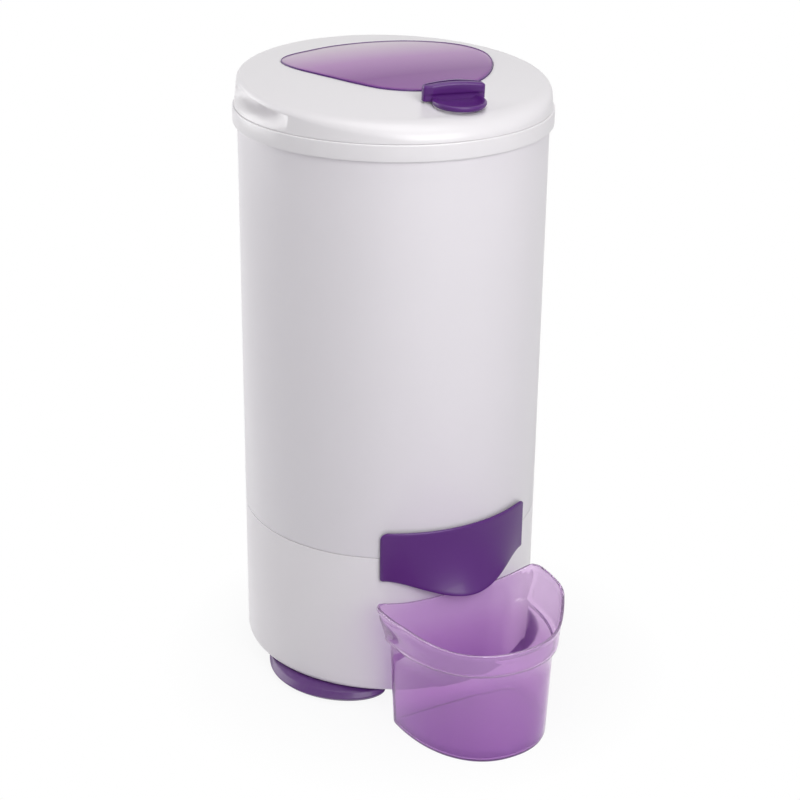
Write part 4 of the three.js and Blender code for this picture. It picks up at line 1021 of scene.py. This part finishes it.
def makeJug():
    wall, bead, rear = jug["wall"], jug["bead"], jug["rear"]
    rimHalf, rimDepth = jug["stepHalf"] + jug["collar"], jug["stepDepth"] + jug["collar"]
    bottom = floorLevel + jug["lift"]
    loops = jugPlate(bottom + 1.2)
    for half, depth, back, rise in ((7, 10, 3.4, 0.5), (5.4, 7, 2.2, 0)):
        loops.append(jugLoop(jug["bottomHalf"] - half, jug["bottomDepth"] - depth, rear - back,
                             level(bottom + rise)))
    loops += jugSide(1, 0, bottom, 4.5, -1, 0.6, 0.85)
    for half, drop in ((0.7, 5), (1.2, 3.6), (bead, 2.4), (bead, 1.4), (bead * 0.75, 0.5),
                       (bead * 0.25, 0.08), (-0.5, 0), (-1.2, 0.12), (-1.9, 0.6), (-wall, 1.6)):
        loops.append(jugLoop(rimHalf + half, rimDepth + half * (1 if half > 0 else 1.6), rear + min(0, half),
                             belowRim(drop), 1))
    loops += reversed(jugSide(0, wall, bottom + wall, 5, 0, 0, 1))
    loops += reversed(jugPlate(bottom + wall + 0.8))
    finished(skinned(loops), "drainJug", "jug", "violet_clear", ["drain_jug"], sharp=50, finish=violetJug)


makeJug()
print("jug made")


tub = {"radius": 146, "wall": 2.5, "floor": 198, "rise": 8, "flange": 616.2, "flangeRadius": 166.5,
       "gutter": 30, "neck": 22, "neckHeight": 20}
drum = {"radius": 132, "wall": 1.2, "low": 236, "top": 580, "mouth": 104, "columns": 48, "rows": 16,
        "hole": 3.1, "margin": 26, "shaft": 7, "bore": 7.3, "shaftLow": 30}


def makeTub():
    outer, wall, floor, flange, neck = (tub[key] for key in ("radius", "wall", "floor", "flange", "neck"))
    inner, gutter, under = outer - wall, outer - tub["gutter"], floor - wall
    neckBase, neckTop = floor + tub["rise"], floor + tub["rise"] + tub["neckHeight"]
    bm = turned([(neck, neckBase - wall, 1), (gutter, under), (outer, under, 14), (outer, flange - wall, 1),
                 (tub["flangeRadius"], flange - wall), (tub["flangeRadius"], flange, 0.6), (inner, flange, 2),
                 (inner, floor, 12), (gutter, floor), (neck + wall, neckBase, 3),
                 (neck + wall, neckTop, 0.8), (neck, neckTop, 0.8)], steps=160, segments=5)
    finished(bm, "waterTub", "casing", "natural_plastic", ["water_tub"])


def holedSheet(width, height):  # a flat sheet of square cells, each with a round hole
    bm = bmesh.new()
    bmesh.ops.create_circle(bm, segments=12, radius=drum["hole"] * mm)
    rotated(bm, 15, "Z")
    for vert in ofKind(bmesh.ops.extrude_edge_only(bm, edges=bm.edges[:]), bmesh.types.BMVert):
        spread = max(abs(vert.co.x), abs(vert.co.y))
        vert.co = Vector((vert.co.x / spread * width / 2 * mm, vert.co.y / spread * height / 2 * mm, 0))
    cell = linked("cell", meshOf(bm, "cell"))
    for count, step in ((drum["columns"], (width * mm, 0, 0)), (drum["rows"], (0, height * mm, 0))):
        row = cell.modifiers.new("row", "ARRAY")
        row.count = count
        row.use_relative_offset = False
        row.use_constant_offset = True
        row.constant_offset_displace = step
        row.use_merge_vertices = True
        row.merge_threshold = mm / 20
    sheet = bmesh.new()
    sheet.from_object(cell, bpy.context.evaluated_depsgraph_get())
    bpy.data.objects.remove(cell)
    return sheet


def carriedOn(sheet, heightAt, places):  # carries an end of the sheet on to a flange
    edges = [e for e in sheet.edges if e.is_boundary
             and all(abs(v.co.z - heightAt) < mm / 10 for v in e.verts)]
    for reach, height in places:
        grown = bmesh.ops.extrude_edge_only(sheet, edges=edges)
        edges = ofKind(grown, bmesh.types.BMEdge)
        for vert in ofKind(grown, bmesh.types.BMVert):
            flat = Vector((vert.co.x, vert.co.y, 0)).normalized() * reach * mm
            vert.co = Vector((flat.x, flat.y, height * mm))


def makeDrumShell():
    low, top, outer, margin = drum["low"], drum["top"], drum["radius"], drum["margin"]
    sheet = holedSheet(2 * math.pi * outer / drum["columns"], (top - low - 2 * margin) / drum["rows"])
    radius = outer * mm
    lowest = min(vert.co.y for vert in sheet.verts)
    for vert in sheet.verts:
        turn = vert.co.x / radius
        vert.co = Vector((radius * math.cos(turn), radius * math.sin(turn),
                          (low + margin) * mm + vert.co.y - lowest))
    bmesh.ops.remove_doubles(sheet, verts=sheet.verts[:], dist=mm / 20)
    carriedOn(sheet, min(v.co.z for v in sheet.verts), [
        (outer, low + 4), (outer - 1.2, low + 1.2), (outer - 4, low), (outer - 18, low)])
    carriedOn(sheet, max(v.co.z for v in sheet.verts), [
        (outer, top - 4), (outer - 1.2, top - 1.2), (outer - 4, top), (drum["mouth"] + 8, top)])
    facedOut(sheet)
    outward = sum(f.normal.xy.dot(f.calc_center_median().xy) for f in sheet.faces)
    if outward < 0:
        bmesh.ops.reverse_faces(sheet, faces=sheet.faces[:])
    bmesh.ops.solidify(sheet, geom=sheet.faces[:], thickness=drum["wall"] * mm)
    finished(sheet, "drumShell", "drum", "stainless", ["drum_shell"])


def makeDrumParts():
    bore, mouth, radius = drum["bore"], drum["mouth"], drum["radius"]
    plate, outer = drum["low"] + drum["wall"] + 0.3, radius - 9
    bm = turned([(bore, plate + 14), (bore, plate + 17), (34, plate + 17, 4), (62, plate + 5, 10),
                 (outer, plate + 2.2, 0.5), (outer, plate), (62, plate + 2.5, 8), (34, plate + 14, 3)],
                steps=128)
    finished(bm, "drumBase", "drum", "stainless", ["drum_base"])
    hubLow, hubTop = drum["low"] - 6, drum["low"] + drum["wall"] + 14
    bm = turned([(bore, hubLow, 0.8), (17, hubLow, 1), (17, hubTop - 6, 2), (30, hubTop - 4, 1),
                 (30, hubTop, 1), (bore, hubTop)], steps=72)
    finished(bm, "drumHub", "drum", "cast_alloy", ["drum_hub"])
    top = drum["top"] + 0.3
    bm = turned([(mouth, top - 8, 1), (mouth + 6, top - 8, 1), (mouth + 6, top, 1), (radius - 6, top, 0.4),
                 (radius - 3, top + 2, 1.5), (radius - 10, top + 8, 4), (mouth + 8, top + 10, 5),
                 (mouth, top + 4, 4)], steps=160, segments=5)
    finished(bm, "drumRimRing", "drum", "natural_plastic", ["drum_rim_ring"])
    nutLow = hubTop + 3.6
    bm = turned([(bore, nutLow), (15, nutLow, 0.6), (15, nutLow + 12, 1.2), (bore, nutLow + 12, 0.8)],
                steps=6, segments=2)
    finished(bm, "hubNut", "drum", "steel", ["hub_nut"], sharp=25)
    shaft, shaftLow, shaftTop = drum["shaft"], drum["shaftLow"], nutLow + 16
    bm = turned([(0, shaftLow), (shaft, shaftLow, 1), (shaft, shaftTop, 1.5), (0, shaftTop)], steps=64)
    finished(bm, "driveShaft", "drum", "steel", ["drive_shaft"])


def clearOfPockets(bm, limit):  # draws the rim of a plate in round the finger pockets
    for vert in bm.verts:
        angle = headingOf(vert.co)
        radius = vert.co.xy.length / mm
        away = abs(abs(angle) - 90) / (grip["halfAngle"] + 2.5)
        if radius > limit - 40 and away < 1:
            inner = limit + 5 - (grip["depth"] + grip["wall"] + 1.5) * math.sqrt(1 - away * away)
            if radius > inner:
                vert.co.xy *= inner / radius


liner = {"top": 637, "wall": 3, "clear": 3, "bore": 7.6}


def makeLiner():
    top, seal, wall = liner["top"], collar["mouth"] - 3, liner["wall"]
    edge = lid["radius"] - lid["wall"] - liner["clear"]
    bm = turned([(seal, top, 1.2), (seal, collar["ledge"] + 6, 0.6), (seal + wall, collar["ledge"] + 6, 0.6),
                 (seal + wall, top - 2.5, 2), (edge, top - 2.5, 0.6), (edge, top, 0.6)], steps=256)
    clearOfPockets(bm, edge)
    piece = finished(bm, "lidLiner", "lid", "natural_plastic", ["lid_liner"])
    carved(piece, [latchBore(liner["bore"])])
    ledge = collar["ledge"]
    bm = turned([(seal - 1, ledge + 5.7, 0.6), (seal - 1, ledge + 1.8, 0.5), (seal + 1, ledge + 0.3, 0.5),
                 (seal + 7, ledge + 0.3, 0.5), (seal + 7, ledge + 2.4, 0.5), (seal + 4, ledge + 5.7, 0.6)],
                steps=160)
    finished(bm, "lidSeal", "lid", "black_rubber", ["lid_seal"])


makeTub()
makeDrumShell()
makeDrumParts()
makeLiner()
print("tub and drum made")


hinge = {"back": 178, "height": 639, "barrel": 6, "pin": 2.5, "leafHalf": 23.5, "lug": 17, "fit": 0.3,
         "low": 613.6, "top": 632}


def makeHinge():
    back, level, barrel = hinge["back"], hinge["height"], hinge["barrel"]
    near = hinge["leafHalf"] + hinge["fit"]
    far = near + hinge["lug"]
    low, top = hinge["low"], hinge["top"]
    parts = [block((-far, back - 16, low), (far, back + 2, top), 1.5)]
    for side in (-1, 1):
        x0, x1 = sorted((side * near, side * far))
        parts.append(block((x0, back - 4, low + 1), (x1, back + barrel - 1, level), 1))
        parts.append(rod((x0, back, level), (x1, back, level), barrel, 0.8))
    whole = finished(parts[0], "hingeBracket", "casing", "white_plastic", ["hinge_bracket"])
    carved(whole, parts[1:], operation="UNION")
    seat, pin = collar["radius"] + hinge["fit"], hinge["pin"]
    ring = turned([(0, low - 5), (seat, low - 5), (seat, top + 40), (0, top + 40)])
    carved(whole, [ring, rod((-far - 5, back, level), (far + 5, back, level), pin + 0.3)])
    finished(rod((-far - 1, back, level), (far + 1, back, level), pin, 0.7), "hingePin", "casing", "steel",
             ["hinge_pin"])
    half, inner = hinge["leafHalf"], lid["radius"] - 0.4
    arm = block((-half, lid["radius"] - 14, level - 4), (half, back, level + barrel - 0.5), 1.2)
    leaf = finished(arm, "lidHingeLeaf", "lid", "white_plastic", ["lid_hinge_leaf"])
    carved(leaf, [rod((-half, back, level), (half, back, level), barrel, 0.8)], operation="UNION")
    ring = turned([(0, 600), (inner, 600), (inner, 700), (0, 700)])
    carved(leaf, [ring, rod((-far, back, level), (far, back, level), pin + 0.4)])


def makeGland():
    bm = turned([(3.6, -8.5, 0.5), (6.5, -8.5, 0.6), (6.5, 0.6), (11, 0.6, 0.6), (11, 4, 1.2), (7.5, 4.4, 1),
                 (5.9, 9, 0.8), (3.6, 9, 0.6)], steps=72)
    bm = shifted(rotated(bm, -90, "X"), (0, base["radius"], base["cordHeight"]))
    finished(bm, "cordGland", "casing", "dark_plastic", ["cord_gland"])


makeHinge()
makeGland()
print("hinge and gland made")


# the nodes that stay take the finish of their slot
for part in frame["record"]["subparts"]:
    data = nodes[part["node"]].data
    data.materials.clear()
    data.materials.append(slotFinish[part["material_slot"]])


def seenDirectly(tree):  # by the camera, in a reflection or through something clear
    path = addNode(tree, "LightPath").outputs
    return calculated(tree, "MAXIMUM", path["Is Camera Ray"],
                      calculated(tree, "MAXIMUM", path["Is Glossy Ray"], path["Is Transmission Ray"]))


def makeFloor():
    bm = bmesh.new()
    bmesh.ops.create_grid(bm, x_segments=8, y_segments=8, size=15)
    floor = linked("floor", meshOf(bm, "floor"))
    material, tree, shader = bareMaterial("paleFloor", paint(250, 250, 250))
    wired(tree, shader, {"Base Color": paint(226, 226, 228), "Roughness": 0.7, "Specular IOR Level": 0.2})
    away = addNode(tree, "VectorMath", {0: objectSpot(tree)}, operation="LENGTH").outputs["Value"]
    fade = addNode(tree, "MapRange", {"Value": away, "From Min": 0.17, "From Max": 0.3, "To Min": 0.9,
                                      "To Max": 1.0}, clamp=True)
    glow = addNode(tree, "Emission", {"Color": (1, 1, 1, 1), "Strength": 1.0})
    share = calculated(tree, "MULTIPLY", seenDirectly(tree), fade.outputs[0])
    mixedShader(tree, share, shader, glow, "Material Output")
    floor.data.materials.append(material)


def makeWorld():
    world = bpy.data.worlds.new("studio")
    bpy.context.scene.world = world
    world.use_nodes = True
    tree = world.node_tree
    plain = wired(tree, tree.nodes["Background"], {"Color": (1, 0.985, 1, 1), "Strength": 0.04})
    white = addNode(tree, "Background", {"Color": (1, 1, 1, 1), "Strength": 1.0})
    mixedShader(tree, seenDirectly(tree), plain, white, "World Output")


lamps = {  # heading in degrees from the front towards +X, height angle, distance and width in metres, watts
    "keyLamp": (-2, 30, 2.6, 1.8, 50),
    "topLamp": (10, 84, 2.4, 1.6, 21),
    "leftLamp": (-138, 14, 2.6, 2.0, 42),
}


def makeLamps():
    target = Vector((machine.x, machine.y, 0.35))
    for name, (heading, rise, distance, width, power) in lamps.items():
        data = bpy.data.lights.new(name, "AREA")
        data.size = width
        data.energy = power
        lamp = linked(name, data)
        out = polar(heading, math.cos(math.radians(rise)), math.sin(math.radians(rise)))
        lamp.location = target + out * distance
        lamp.rotation_euler = (-out).to_track_quat("-Z", "Y").to_euler()


makeFloor()
makeWorld()
makeLamps()
bpy.context.scene.view_settings.view_transform = "Standard"
print("studio made")
